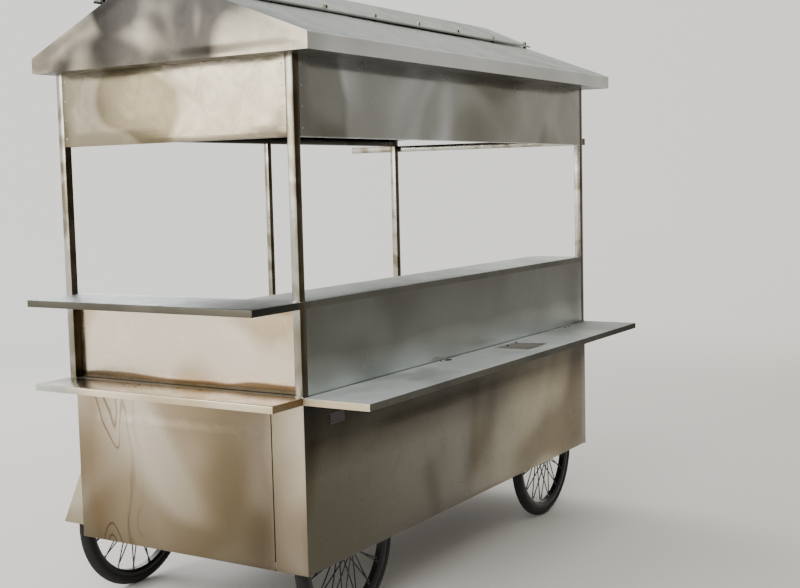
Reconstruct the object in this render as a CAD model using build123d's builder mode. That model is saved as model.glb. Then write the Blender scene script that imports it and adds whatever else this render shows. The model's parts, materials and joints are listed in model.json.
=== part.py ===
"""Push vending cart: a sheet-steel food cart on four spoked wheels, under a vented gable roof.

Axes: +X runs along the cart from its head end to its tail end, +Y from the service side to the
operator side, +Z up. The origin is on the ground, under the middle of the whole cart's outline.
"""
import os
from math import cos, hypot, radians, sin, tan

from build123d import *

# ---------------------------------------------------------------- driving dimensions, mm
body_length = 2370.0          # over the end panels
frame_width = 1100.0          # over the roof posts
operator_inset = 36.0         # back panel in from the posts' outer plane
body_clearance = 278.0        # ground to the bottom of the body
shelf_height = 894.0          # top of the deck and of both folding shelves
counter_height = 1216.0       # top of the serving counter
fascia_bottom = 1763.0
operator_fascia_lift = 29.0    # the operator side's fascia hangs less low
tail_fascia_lift = 60.0        # the tail end's leaves room for the hanging rail
eave_underside = 2033.0
eave_band = 56.0              # upright band round the roof's edge
roof_rise = 260.0             # eave top to main ridge
cap_lift = 32.0               # ridge cap above the main roof
cap_half_width = 255.0
vent_half_width = 110.0       # open strip under the cap, each side of the ridge

head_overhang = 80.0          # roof beyond the body
tail_overhang = 40.0
service_overhang = 120.0
operator_overhang = 32.0

sheet = 1.5
lip = 25.0                    # turned-down edge of shelves and counter
post = 32.0                   # square roof posts and deck rails
rail = 25.0                   # light square tube
tube_wall = 1.5
chassis_tube = 38.0
mid_post_from_head = 1240.0

service_shelf_depth = 267.0
head_shelf_depth = 167.0
head_counter_depth = 254.0
head_counter_width = frame_width - 77.0
counter_strip = 262.0         # width of the counter along the service side
hanging_rail_reach = 267.0    # beyond the operator side posts
corner_strip = 138.0          # narrow panel beside the service corner

wheel_radius = 295.0
tyre_width = 46.0
rim_inner_radius = 235.0
rim_seat_radius = 251.0
spindle_radius = 10.0
bearing_radius = 17.5
bearing_width = 11.0
hub_half_length = 35.0
hub_flange_radius = 36.0
spoke_radius = 2.5
spoke_count = 32
axle_beam = 30.0
wheel_end_gap = 20.0          # tyre to the head end's outer face
tail_axle_inset = 380.0
service_wheel_inset = 64.0    # wheel's middle plane in from the service face
tyre_gap = 15.0
running_gap = 0.05            # radial clearance of every turning fit
side_gap = 0.5                # end clearance beside moving pieces

guard_lift = 45.0             # guard's lower edge above the body's
guard_rise = 249.0            # guard's top edge above the body's lower edge
guard_reach = 102.0           # guard's spread from the back panel at its lower edge
arch_margin = 40.0            # guards and wheel boxes past the tyre

door_margin = 70.0            # door opening in from the wheel guards
door_lap = 12.0
door_depth = 18.0
door_sill = 32.0              # opening above the body's lower edge
door_gap = 4.0

hinge_pin_radius = 1.5
knuckle_radius = 3.5
knuckle_length = 18.0
leaf_reach = 24.0
stay_angle = 28.5             # slope of a stay when its shelf is up, degrees
stay_end_radius = 7.0
stay_thickness = 6.0
stay_pin_radius = 2.5
stay_tip_gap = 6.0            # folded stay's tip to the shelf's front lip
stay_foot_stand_off = 9.5

service_hinges_at = (0.08, 0.36, 0.64, 0.92)
service_stays_at = (0.20, 0.50, 0.80)
head_hinges_at = (0.15, 0.50, 0.85)
head_stays_at = (0.30, 0.70)

# ---------------------------------------------------------------- places worked out from them
overall_length = head_counter_depth + body_length + tail_overhang
overall_width = service_shelf_depth + frame_width + hanging_rail_reach
head_x = head_counter_depth - overall_length / 2
tail_x = head_x + body_length
service_y = service_shelf_depth - overall_width / 2
operator_y = service_y + frame_width
back_y = operator_y - operator_inset
ridge_y = (service_y + operator_y) / 2

post_x = (head_x + sheet, tail_x - sheet - post)
post_y = (service_y + sheet, operator_y - sheet - post)
inner_x = (post_x[0] + post, post_x[1])
inner_y = (post_y[0] + post, post_y[1])
deck_underside = shelf_height - sheet
ring_bottom = deck_underside - post
counter_underside = counter_height - lip

axle_z = wheel_radius
axle_x = (head_x + wheel_end_gap + wheel_radius, tail_x - tail_axle_inset)
wheel_y = (service_y + service_wheel_inset, operator_y)
chassis_z = axle_z + axle_beam / 2
floor_z = chassis_z + chassis_tube
wheel_box_top = axle_z + wheel_radius + tyre_gap
arch_radius = wheel_radius + tyre_gap
wheel_zone_x = ((head_x, axle_x[0] + wheel_radius + arch_margin),
                (axle_x[1] - wheel_radius - arch_margin, tail_x))
wheel_box_y = wheel_y[0] + hub_half_length + side_gap + sheet

eave_top = eave_underside + eave_band
ridge_z = eave_top + roof_rise
roof_x = (head_x - head_overhang, tail_x + tail_overhang)
eave_y = (service_y - service_overhang, operator_y + operator_overhang)
roof_slope = (roof_rise / (ridge_y - eave_y[0]), roof_rise / (eave_y[1] - ridge_y))

shelf_hinge_z = shelf_height - lip - sheet - knuckle_radius
hinge_stand_off = sheet + knuckle_radius
stay_pivot_z = shelf_height - sheet - stay_end_radius - knuckle_radius

os.makedirs("parts", exist_ok=True)


def save(builder, name):
    """Label a finished piece and write it to its own file."""
    builder.part.label = name
    export_step(builder.part, f"parts/{name}.step")


def block(low, high, mode=Mode.ADD):
    """A box between two corners, in the part being built."""
    size = [b - a for a, b in zip(low, high)]
    middle = [(a + b) / 2 for a, b in zip(low, high)]
    with Locations(Vector(*middle)):
        Box(*size, mode=mode)


def tube(low, high, axis):
    """A square tube between two corners, open along the axis numbered 0, 1 or 2."""
    block(low, high)
    inner_low = [a if i == axis else a + tube_wall for i, a in enumerate(low)]
    inner_high = [b if i == axis else b - tube_wall for i, b in enumerate(high)]
    block(inner_low, inner_high, mode=Mode.SUBTRACT)


def prism_x(points, x_start, x_end, mode=Mode.ADD):
    """A (y, z) polygon carried along X from x_start to x_end."""
    with BuildSketch(Plane.YZ.offset(x_start)) as profile:
        with BuildLine():
            Polyline(*points, close=True)
        make_face()
    extrude(profile.sketch, amount=x_end - x_start, mode=mode)


def ring_slab(outer_low, outer_high, inner_low, inner_high, z_low, z_high):
    """A flat frame: an outer rectangle less an inner one, between two heights."""
    block((*outer_low, z_low), (*outer_high, z_high))
    block((*inner_low, z_low), (*inner_high, z_high), mode=Mode.SUBTRACT)


def roof_top_z(y):
    """Height of the main roof's outer surface at a place across the cart."""
    if y < ridge_y:
        return eave_top + roof_slope[0] * (y - eave_y[0])
    return eave_top + roof_slope[1] * (eave_y[1] - y)


# ---------------------------------------------------------------- chassis and axles
back_rail_inset = 3 * chassis_tube
chassis_y = (wheel_box_y + sheet, back_y - sheet - back_rail_inset)
cross_x = (wheel_zone_x[0][1], (head_x + tail_x) / 2, wheel_zone_x[1][0])
saddle_wall = 5.0
with BuildPart() as chassis:
    for y in chassis_y:
        tube((head_x + sheet, y, chassis_z), (tail_x - sheet, y + chassis_tube, floor_z), 0)
    for x in cross_x:
        tube((x - rail / 2, chassis_y[0] + chassis_tube, floor_z - rail),
             (x + rail / 2, chassis_y[1], floor_z), 1)
    for x in axle_x:
        for y in chassis_y:
            low = (x - axle_beam / 2, y, axle_z - axle_beam / 2)
            high = (x + axle_beam / 2, y + chassis_tube, chassis_z)
            block((low[0] - saddle_wall, y, low[2] - saddle_wall), (high[0] + saddle_wall, *high[1:]))
            block(low, high, mode=Mode.SUBTRACT)
save(chassis, "chassis")

beam_y = (wheel_y[0] + hub_half_length + side_gap, wheel_y[1] - hub_half_length - side_gap)
nut_length = 12.0
with BuildPart() as axles:
    for x in axle_x:
        block((x - axle_beam / 2, beam_y[0], axle_z - axle_beam / 2),
              (x + axle_beam / 2, beam_y[1], chassis_z))
        reach = hub_half_length + side_gap + nut_length
        with BuildSketch(Plane(origin=(x, wheel_y[0] - reach, axle_z), z_dir=(0, 1, 0))):
            Circle(spindle_radius)
        extrude(amount=wheel_y[1] - wheel_y[0] + 2 * reach)
save(axles, "axles")

with BuildPart() as axle_nuts:
    for x in axle_x:
        for y, way in ((wheel_y[0], -1), (wheel_y[1], 1)):
            face = Plane(origin=(x, y + way * (hub_half_length + side_gap), axle_z),
                         z_dir=(0, way, 0))
            with BuildSketch(face):
                RegularPolygon(radius=15.0, side_count=6, major_radius=False)
                Circle(spindle_radius, mode=Mode.SUBTRACT)
            extrude(amount=nut_length)
save(axle_nuts, "axle_nuts")

# ---------------------------------------------------------------- floor, wheel boxes, uprights
with BuildPart() as floor_pan:
    block((head_x + sheet, service_y + sheet, floor_z), (tail_x - sheet, back_y - sheet, floor_z + sheet))
    for low, high in wheel_zone_x:
        block((low, service_y, floor_z), (high, wheel_box_y - sheet, floor_z + sheet),
              mode=Mode.SUBTRACT)
save(floor_pan, "floor_pan")

box_floor = floor_z + sheet
with BuildPart() as wheel_boxes:
    for index, (low, high) in enumerate(wheel_zone_x):
        low, high = max(low, head_x + sheet), min(high, tail_x - sheet)
        open_x = (low, high - sheet) if index == 0 else (low + sheet, high)
        block((low, service_y + sheet, box_floor), (high, wheel_box_y, wheel_box_top + sheet))
        block((open_x[0], service_y + sheet, box_floor), (open_x[1], wheel_box_y - sheet, wheel_box_top),
              mode=Mode.SUBTRACT)
save(wheel_boxes, "wheel_boxes")

bearer_x = [head_x + body_length * k for k in (0.03, 0.5, 0.97)]
bearer_bottom = deck_underside - rail
with BuildPart() as deck_trestles:
    for x in bearer_x:
        tube((x - rail / 2, inner_y[0], bearer_bottom), (x + rail / 2, inner_y[1], deck_underside), 1)
        for y in chassis_y:
            middle = y + chassis_tube / 2
            tube((x - rail / 2, middle - rail / 2, floor_z + sheet),
                 (x + rail / 2, middle + rail / 2, bearer_bottom), 2)
save(deck_trestles, "deck_trestles")

# ---------------------------------------------------------------- deck ring, posts and rails
with BuildPart() as deck_long_rails:
    for y in post_y:
        tube((post_x[0], y, ring_bottom), (post_x[1] + post, y + post, deck_underside), 0)
save(deck_long_rails, "deck_long_rails")

with BuildPart() as deck_cross_rails:
    for x in post_x:
        tube((x, inner_y[0], ring_bottom), (x + post, inner_y[1], deck_underside), 1)
save(deck_cross_rails, "deck_cross_rails")

mid_x = head_x + mid_post_from_head
mid_y = operator_y - 2 * sheet - rail
with BuildPart() as roof_posts:
    for x in post_x:
        for y in post_y:
            tube((x, y, deck_underside), (x + post, y + post, eave_underside), 2)
    tube((mid_x, mid_y, shelf_height), (mid_x + rail, mid_y + rail, eave_underside - rail), 2)
save(roof_posts, "roof_posts")

rail_face = 2 * sheet          # rails stand behind sheets that lie flush with the posts
rail_y = (service_y + rail_face, operator_y - rail_face - rail)
rail_x = (head_x + rail_face, tail_x - rail_face - rail)
eave_rail_bottom = eave_underside - rail
service_rail_bottom = fascia_bottom + sheet
operator_rail_bottom = service_rail_bottom + operator_fascia_lift
with BuildPart() as long_roof_rails:
    for y in rail_y:
        tube((inner_x[0], y, eave_rail_bottom), (inner_x[1], y + rail, eave_underside), 0)
    tube((inner_x[0], rail_y[0], service_rail_bottom),
         (inner_x[1], rail_y[0] + rail, service_rail_bottom + rail), 0)
    for x_low, x_high in ((inner_x[0], mid_x), (mid_x + rail, inner_x[1])):
        tube((x_low, rail_y[1], operator_rail_bottom),
             (x_high, rail_y[1] + rail, operator_rail_bottom + rail), 0)
save(long_roof_rails, "long_roof_rails")

with BuildPart() as cross_roof_rails:
    for x, lift in zip(rail_x, (0.0, tail_fascia_lift)):
        for bottom in (service_rail_bottom + lift, eave_rail_bottom):
            tube((x, inner_y[0], bottom), (x + rail, inner_y[1], bottom + rail), 1)
save(cross_roof_rails, "cross_roof_rails")

with BuildPart() as hanging_rail:
    tube((tail_x - sheet, service_y + sheet, fascia_bottom),
         (tail_x - sheet + post, operator_y + hanging_rail_reach, fascia_bottom + post), 1)
save(hanging_rail, "hanging_rail")

# ---------------------------------------------------------------- deck, counter
with BuildPart() as deck_sheet:
    block((head_x, service_y, deck_underside), (tail_x, operator_y, shelf_height))
    for x in post_x:
        for y in post_y:
            block((x, y, deck_underside), (x + post, y + post, shelf_height), mode=Mode.SUBTRACT)
save(deck_sheet, "deck_sheet")

counter_low = (head_x - head_counter_depth, service_y + sheet)
counter_points = [
    counter_low,
    (post_x[0], counter_low[1]),
    (post_x[0], inner_y[0]),
    (inner_x[0], inner_y[0]),
    (inner_x[0], counter_low[1]),
    (inner_x[1], counter_low[1]),
    (inner_x[1], service_y + counter_strip),
    (inner_x[0], service_y + counter_strip),
    (inner_x[0], service_y + head_counter_width),
    (counter_low[0], service_y + head_counter_width),
]
with BuildPart() as counter_top:
    with BuildSketch(Plane.XY.offset(counter_underside)):
        with BuildLine():
            Polyline(*counter_points, close=True)
        make_face()
    extrude(amount=lip)
    with BuildSketch(Plane.XY.offset(counter_underside)):
        with BuildLine():
            Polyline(*counter_points, close=True)
        make_face()
        offset(amount=-sheet, kind=Kind.INTERSECTION, mode=Mode.REPLACE)
    extrude(amount=lip - sheet, mode=Mode.SUBTRACT)
save(counter_top, "counter_top")

stiffener = 4.0
gusset_drop = 190.0
with BuildPart() as counter_supports:
    for k in (0.2, 0.5, 0.8):
        y = service_y + head_counter_width * k
        block((counter_low[0] + sheet, y, counter_underside),
              (inner_x[0] - sheet, y + stiffener, counter_height - sheet))
    for k in (0.1, 0.37, 0.63, 0.9):
        x = head_x + body_length * k
        prism_x([(service_y + 2 * sheet, counter_underside),
                 (service_y + counter_strip - lip, counter_underside),
                 (service_y + 2 * sheet, counter_underside - gusset_drop)], x, x + stiffener)
save(counter_supports, "counter_supports")

# ---------------------------------------------------------------- skin panels
skin_top = deck_underside


def hemmed_panel_y(y_low, x_low, x_high, z_low, z_high, inward):
    """A sheet across Y with a narrow flange turned inward along its lower edge."""
    block((x_low, y_low, z_low), (x_high, y_low + sheet, z_high))
    start = y_low + sheet if inward > 0 else y_low - hem
    block((x_low, start, z_low), (x_high, start + hem, z_low + sheet))


def hemmed_panel_x(x_low, y_low, y_high, z_low, z_high, inward, hem_low=0.0, hem_high=0.0):
    """A sheet across X, flanged like the one above, the flange short of its ends by two lengths."""
    block((x_low, y_low, z_low), (x_low + sheet, y_high, z_high))
    start = x_low + sheet if inward > 0 else x_low - hem
    block((start, y_low + hem_low, z_low), (start + hem, y_high - hem_high, z_low + sheet))


hem = 12.0
with BuildPart() as service_panel:
    hemmed_panel_y(service_y, head_x + sheet, tail_x - sheet, body_clearance, skin_top, 1)
save(service_panel, "service_panel")

strip_y = service_y + corner_strip
with BuildPart() as head_corner_panel:
    hemmed_panel_x(head_x, service_y, strip_y, body_clearance, skin_top, 1, hem_low=sheet + hem)
save(head_corner_panel, "head_corner_panel")

with BuildPart() as head_panel:
    hemmed_panel_x(head_x, strip_y, back_y, body_clearance, skin_top, 1, hem_high=sheet)
save(head_panel, "head_panel")

with BuildPart() as tail_panel:
    hemmed_panel_x(tail_x - sheet, service_y, back_y, body_clearance, skin_top, -1,
                   hem_low=sheet + hem, hem_high=sheet)
save(tail_panel, "tail_panel")

door_x = (wheel_zone_x[0][1] + door_margin, wheel_zone_x[1][0] - door_margin)
door_z = (body_clearance + door_sill, ring_bottom - door_lap - door_gap)
with BuildPart() as back_panel:
    block((head_x + sheet, back_y - sheet, body_clearance), (tail_x - sheet, back_y, ring_bottom))
    block((door_x[0], back_y - sheet, door_z[0]), (door_x[1], back_y, door_z[1]), mode=Mode.SUBTRACT)
    for x in axle_x:
        block((x - axle_beam / 2, back_y - sheet, body_clearance),
              (x + axle_beam / 2, back_y, chassis_z), mode=Mode.SUBTRACT)
    for low, high in ((head_x + sheet + hem, axle_x[0] - axle_beam / 2),
                      (axle_x[0] + axle_beam / 2, axle_x[1] - axle_beam / 2),
                      (axle_x[1] + axle_beam / 2, tail_x - sheet - hem)):
        block((low, back_y - sheet - hem, body_clearance), (high, back_y - sheet, body_clearance + sheet))
save(back_panel, "back_panel")

# Sheets between the posts, flush with them
with BuildPart() as service_upper_panel:
    block((inner_x[0], service_y + sheet, shelf_height),
          (inner_x[1], service_y + 2 * sheet, counter_underside))
save(service_upper_panel, "service_upper_panel")

with BuildPart() as head_upper_panel:
    block((inner_x[0] - 2 * sheet, inner_y[0], shelf_height),
          (inner_x[0] - sheet, inner_y[1], counter_underside))
save(head_upper_panel, "head_upper_panel")

with BuildPart() as fascias:
    for y, lift, way in ((service_y + sheet, 0.0, 1), (operator_y - 2 * sheet, operator_fascia_lift, -1)):
        hemmed_panel_y(y, inner_x[0], inner_x[1], fascia_bottom + lift, eave_underside, way)
    for x, lift, way in ((head_x + sheet, 0.0, 1), (tail_x - 2 * sheet, tail_fascia_lift, -1)):
        hemmed_panel_x(x, inner_y[0], inner_y[1], fascia_bottom + lift, eave_underside, way)
    block((mid_x, mid_y, fascia_bottom), (mid_x + rail, mid_y + rail, operator_rail_bottom),
          mode=Mode.SUBTRACT)     # the operator fascia's flange is notched round the middle post
save(fascias, "fascias")

# ---------------------------------------------------------------- wheel guards on the operator side
guard_z = (body_clearance + guard_lift, body_clearance + guard_rise)
guard_y = back_y + guard_reach
with BuildPart() as wheel_guards:
    for x_middle, (low, high) in zip(axle_x, wheel_zone_x):
        prism_x([(back_y, guard_z[1] + hem), (back_y + sheet, guard_z[1] + hem),
                 (back_y + sheet, guard_z[1]), (guard_y, guard_z[0]), (guard_y - sheet, guard_z[0]),
                 (back_y, guard_z[1] - sheet)], low, high)
        for x in (low, high - sheet):
            prism_x([(back_y, guard_z[1]), (guard_y - sheet, guard_z[0]), (back_y, guard_z[0])],
                    x, x + sheet)
        with BuildSketch(Plane(origin=(x_middle, back_y + sheet, axle_z), z_dir=(0, 1, 0))):
            Circle(arch_radius)
        extrude(amount=guard_reach * 2, mode=Mode.SUBTRACT)
save(wheel_guards, "wheel_guards")

# ---------------------------------------------------------------- roof
inside_roof_x = (roof_x[0] + sheet, roof_x[1] - sheet)
for name, side in (("service_roof_slope", 0), ("operator_roof_slope", 1)):
    inward = 1 if side == 0 else -1
    edge = eave_y[side]
    vent_edge = ridge_y - inward * vent_half_width
    with BuildPart() as slope:
        prism_x([(edge, eave_underside), (edge, eave_top), (vent_edge, roof_top_z(vent_edge)),
                 (vent_edge, roof_top_z(vent_edge) - 2 * sheet),
                 (edge + inward * sheet, eave_top - 2 * sheet + roof_slope[side] * sheet),
                 (edge + inward * sheet, eave_underside)], *inside_roof_x)
    save(slope, name)

gable = [(eave_y[0], eave_underside), (eave_y[0], eave_top), (ridge_y, ridge_z),
         (eave_y[1], eave_top), (eave_y[1], eave_underside)]
with BuildPart() as gables:
    for x in (roof_x[0], roof_x[1] - sheet):
        prism_x(gable, x, x + sheet)
save(gables, "gables")

soffit_margin = 60.0
with BuildPart() as soffit:
    ring_slab((inside_roof_x[0], eave_y[0] + sheet), (inside_roof_x[1], eave_y[1] - sheet),
              (head_x + soffit_margin, service_y + soffit_margin),
              (tail_x - soffit_margin, operator_y - soffit_margin),
              eave_underside, eave_underside + sheet)
save(soffit, "soffit")

rafter_depth = rail
rafter_x = [head_x + body_length * k for k in (0.02, 0.26, 0.5, 0.74, 0.96)]
stud_width = rail


def roof_underside_z(y):
    """Height of the roof sheets' underside."""
    return roof_top_z(y) - 2 * sheet


with BuildPart() as ridge_beam:
    tube((inside_roof_x[0], ridge_y - rail / 2, ridge_z - 2 * rail),
         (inside_roof_x[1], ridge_y + rail / 2, ridge_z - rail), 0)
save(ridge_beam, "ridge_beam")

stud_y = (service_y + rail_face, operator_y - rail_face - stud_width)
with BuildPart() as rafters:
    for x in rafter_x:
        for foot, top in ((stud_y[0], ridge_y - rail / 2), (stud_y[1] + stud_width, ridge_y + rail / 2)):
            prism_x([(foot, roof_underside_z(foot)), (top, roof_underside_z(top)),
                     (top, roof_underside_z(top) - rafter_depth),
                     (foot, roof_underside_z(foot) - rafter_depth)], x, x + rail)
        for y in stud_y:
            prism_x([(y, eave_underside + sheet), (y + stud_width, eave_underside + sheet),
                     (y + stud_width, roof_underside_z(y + stud_width) - rafter_depth),
                     (y, roof_underside_z(y) - rafter_depth)], x, x + rail)
save(rafters, "rafters")

cap_drip = 8.0
cap_edge_y = (ridge_y - cap_half_width, ridge_y + cap_half_width)
cap_edge_z = [roof_top_z(y) + cap_lift for y in cap_edge_y]
with BuildPart() as ridge_cap:
    prism_x([(cap_edge_y[0], cap_edge_z[0] - cap_drip), (cap_edge_y[0], cap_edge_z[0]),
             (ridge_y, ridge_z + cap_lift),
             (cap_edge_y[1], cap_edge_z[1]), (cap_edge_y[1], cap_edge_z[1] - cap_drip),
             (cap_edge_y[1] - sheet, cap_edge_z[1] - cap_drip),
             (cap_edge_y[1] - sheet, cap_edge_z[1] - sheet + roof_slope[1] * sheet),
             (ridge_y, ridge_z + cap_lift - 2 * sheet),
             (cap_edge_y[0] + sheet, cap_edge_z[0] - sheet + roof_slope[0] * sheet),
             (cap_edge_y[0] + sheet, cap_edge_z[0] - cap_drip)], *roof_x)
save(ridge_cap, "ridge_cap")

spacer_inset, spacer_size, spacer_count = 12.0, 12.0, 8
spacer_step = (roof_x[1] - roof_x[0] - 2 * lip - spacer_size) / (spacer_count - 1)


def cap_underside_z(y):
    """Height of the cap's underside, which falls from the ridge to just inside its edge."""
    side = 0 if y < ridge_y else 1
    edge = cap_edge_y[side] + (sheet if side == 0 else -sheet)
    edge_z = cap_edge_z[side] - sheet + roof_slope[side] * sheet
    share = (y - edge) / (ridge_y - edge)
    return edge_z + share * (ridge_z + cap_lift - 2 * sheet - edge_z)


with BuildPart() as cap_spacers:
    for n in range(spacer_count):
        x = roof_x[0] + lip + n * spacer_step
        for y in (cap_edge_y[0] + spacer_inset, cap_edge_y[1] - spacer_inset - spacer_size):
            prism_x([(y, roof_top_z(y)), (y + spacer_size, roof_top_z(y + spacer_size)),
                     (y + spacer_size, cap_underside_z(y + spacer_size)),
                     (y, cap_underside_z(y))], x, x + spacer_size)
save(cap_spacers, "cap_spacers")

# ---------------------------------------------------------------- folding shelves
flange = 20.0


def shelf_pan(length, depth):
    """A shelf in its own place: hinged edge on local Y = 0, reaching to -Y, top at Z = 0.

    It is a pan turned over: a top, a lip on every side and a flange under the hinged edge.
    """
    low, high = (0.0, -depth, -lip), (length, -side_gap * 2, 0.0)
    block(low, high)
    block((low[0] + sheet, low[1] + sheet, low[2]), (high[0] - sheet, high[1] - sheet, -sheet),
          mode=Mode.SUBTRACT)
    block((low[0] + sheet, high[1] - flange, low[2]), (high[0] - sheet, high[1] - sheet, low[2] + sheet))


def shelf_place(which):
    """Where a shelf's own frame stands: the service shelf's X is the cart's, the head one's is -Y."""
    if which == "service":
        return Plane(origin=(head_x, service_y, shelf_height), x_dir=(1, 0, 0), z_dir=(0, 0, 1))
    return Plane(origin=(head_x, operator_y, shelf_height), x_dir=(0, -1, 0), z_dir=(0, 0, 1))


def knuckle_bar(x, y, z, length, mode=Mode.ADD, radius=knuckle_radius):
    """A round bar along local X, from x."""
    with Locations(Location((x + length / 2, y, z), (0, 90, 0))):
        Cylinder(radius, length, mode=mode)


def fixed_leaf(x):
    """The wall half of a hinge, middle at x: a plate, two outer knuckles and the pin they hold."""
    z = shelf_hinge_z - shelf_height
    half = 1.5 * knuckle_length
    block((x - half, -sheet, z - leaf_reach), (x + half, 0, z + knuckle_radius))
    block((x - knuckle_length / 2 - side_gap, -sheet, z - knuckle_radius - side_gap),
          (x + knuckle_length / 2 + side_gap, 0, z + knuckle_radius), mode=Mode.SUBTRACT)
    for start in (x - half, x + knuckle_length / 2 + side_gap):
        length = knuckle_length - side_gap
        knuckle_bar(start, -hinge_stand_off, z, length)
        block((start, -hinge_stand_off, z - sheet), (start + length, 0, z + sheet))
    knuckle_bar(x - half, -hinge_stand_off, z, 2 * half, radius=hinge_pin_radius)


def moving_leaf(x):
    """The shelf half of a hinge: a plate under the shelf's flange with the middle knuckle."""
    z = shelf_hinge_z - shelf_height
    half = 1.5 * knuckle_length
    start, length = x - knuckle_length / 2, knuckle_length
    block((x - half, -hinge_stand_off - leaf_reach / 2 - knuckle_radius, z + knuckle_radius),
          (x + half, -hinge_stand_off + sheet, z + knuckle_radius + sheet))
    knuckle_bar(start, -hinge_stand_off, z, length)
    block((start, -hinge_stand_off - sheet, z), (start + length, -hinge_stand_off + sheet,
                                                 z + knuckle_radius + sheet))
    knuckle_bar(start, -hinge_stand_off, z, length, Mode.SUBTRACT, hinge_pin_radius + running_gap)


def stay_span(depth):
    """Horizontal reach of a stay, so that it folds flat inside its shelf's lip."""
    room = depth - stay_foot_stand_off - stay_end_radius - stay_tip_gap
    return room / (1 + 1 / cos(radians(stay_angle)))


def stay_pivot(depth):
    """Local (y, z) of a stay's pivot under its shelf."""
    return -stay_foot_stand_off - stay_span(depth), stay_pivot_z - shelf_height


def stay_foot(depth):
    """Local (y, z) of the middle of a stay's foot."""
    y, z = stay_pivot(depth)
    return -stay_foot_stand_off, z - stay_span(depth) * tan(radians(stay_angle))


def stay_bar(x, depth):
    """A flat bar from the pivot down to its foot beside the wall, with round ends and an eye."""
    y, z = stay_pivot(depth)
    foot_y, foot_z = stay_foot(depth)
    middle = ((y + foot_y) / 2, (z + foot_z) / 2)
    with BuildSketch(Plane.YZ.offset(x - stay_thickness / 2)) as outline:
        with Locations(Location((*middle, 0), (0, 0, -stay_angle))):
            SlotCenterToCenter(hypot(foot_y - y, foot_z - z), 2 * stay_end_radius)
        with Locations((y, z)):
            Circle(stay_pin_radius + running_gap, mode=Mode.SUBTRACT)
    extrude(outline.sketch, amount=stay_thickness)


def stay_lug(x, depth):
    """Two cheeks under the shelf's top, with the pivot pin through them."""
    y, z = stay_pivot(depth)
    cheek = 2.0
    for start in (x - stay_thickness / 2 - side_gap - cheek, x + stay_thickness / 2 + side_gap):
        block((start, y - stay_end_radius, z - stay_end_radius + sheet),
              (start + cheek, y + stay_end_radius, -sheet))
    start = x - stay_thickness / 2 - side_gap
    knuckle_bar(start, y, z, stay_thickness + 2 * side_gap, radius=stay_pin_radius)


def stay_socket(x, depth):
    """Two cheeks on a back plate, either side of a stay's foot."""
    z = stay_foot(depth)[1]
    cheek = 3.0
    inner = stay_thickness / 2 + side_gap
    bottom, top = z - stay_end_radius - side_gap, z + stay_end_radius
    block((x - inner - cheek, -sheet, bottom), (x + inner + cheek, 0, top))
    for start in (x - inner - cheek, x + inner):
        block((start, -stay_foot_stand_off + side_gap, bottom), (start + cheek, -sheet, top))


def shelf_piece(which, build, places):
    """A shelf's piece, made in the shelf's own frame and stood on the cart."""
    with BuildPart() as local_piece:
        for arguments in places:
            build(*arguments)
    return shelf_place(which).location * local_piece.part


shelves = {
    "service": (body_length, service_shelf_depth, service_hinges_at, service_stays_at),
    "head": (frame_width, head_shelf_depth, head_hinges_at, head_stays_at),
}


def hinge_places(which):
    """Where a shelf's hinges are, along its hinged edge."""
    length, _, shares, _ = shelves[which]
    return [(length * k,) for k in shares]


def stay_places(which):
    """Where a shelf's stays are, along its hinged edge, with the shelf's depth."""
    length, depth, _, shares = shelves[which]
    return [(length * k, depth) for k in shares]


for which, (length, depth, _, _) in shelves.items():
    with BuildPart() as shelf:
        add(shelf_piece(which, shelf_pan, [(length, depth)]))
    save(shelf, f"{which}_shelf")
    with BuildPart() as shelf_fittings:
        add(shelf_piece(which, moving_leaf, hinge_places(which)))
        add(shelf_piece(which, stay_lug, stay_places(which)))
    save(shelf_fittings, f"{which}_shelf_fittings")
    for number, place in enumerate(stay_places(which), start=1):
        with BuildPart() as stay:
            add(shelf_piece(which, stay_bar, [place]))
        save(stay, f"{which}_stay_{number}")

with BuildPart() as stay_sockets:
    for which in shelves:
        add(shelf_piece(which, stay_socket, stay_places(which)))
save(stay_sockets, "stay_sockets")

# ---------------------------------------------------------------- back doors
door_split = (door_x[0] + door_x[1]) / 2
door_face_y = back_y + sheet
door_hinge_y = door_face_y + door_depth / 2
door_spans = {"head": (door_x[0] - door_lap, door_split - door_gap / 2),
              "tail": (door_split + door_gap / 2, door_x[1] + door_lap)}
door_height = (door_z[0] - door_lap, door_z[1] + door_lap)
door_hinges_at = (0.15, 0.85)
handle_radius, handle_length, handle_stand_off = 5.0, 120.0, 28.0
hinge_heights = [door_height[0] + k * (door_height[1] - door_height[0]) for k in door_hinges_at]
door_outside = door_face_y + door_depth
door_middle_z = (door_height[0] + door_height[1]) / 2


def door_hinge(which):
    """A door's hinged edge, the way from the door to its hinge along X, and its hinge's X."""
    edge = door_spans[which][0 if which == "head" else 1]
    outward = -1 if which == "head" else 1
    return edge, outward, edge + outward * (knuckle_radius + side_gap)


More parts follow.
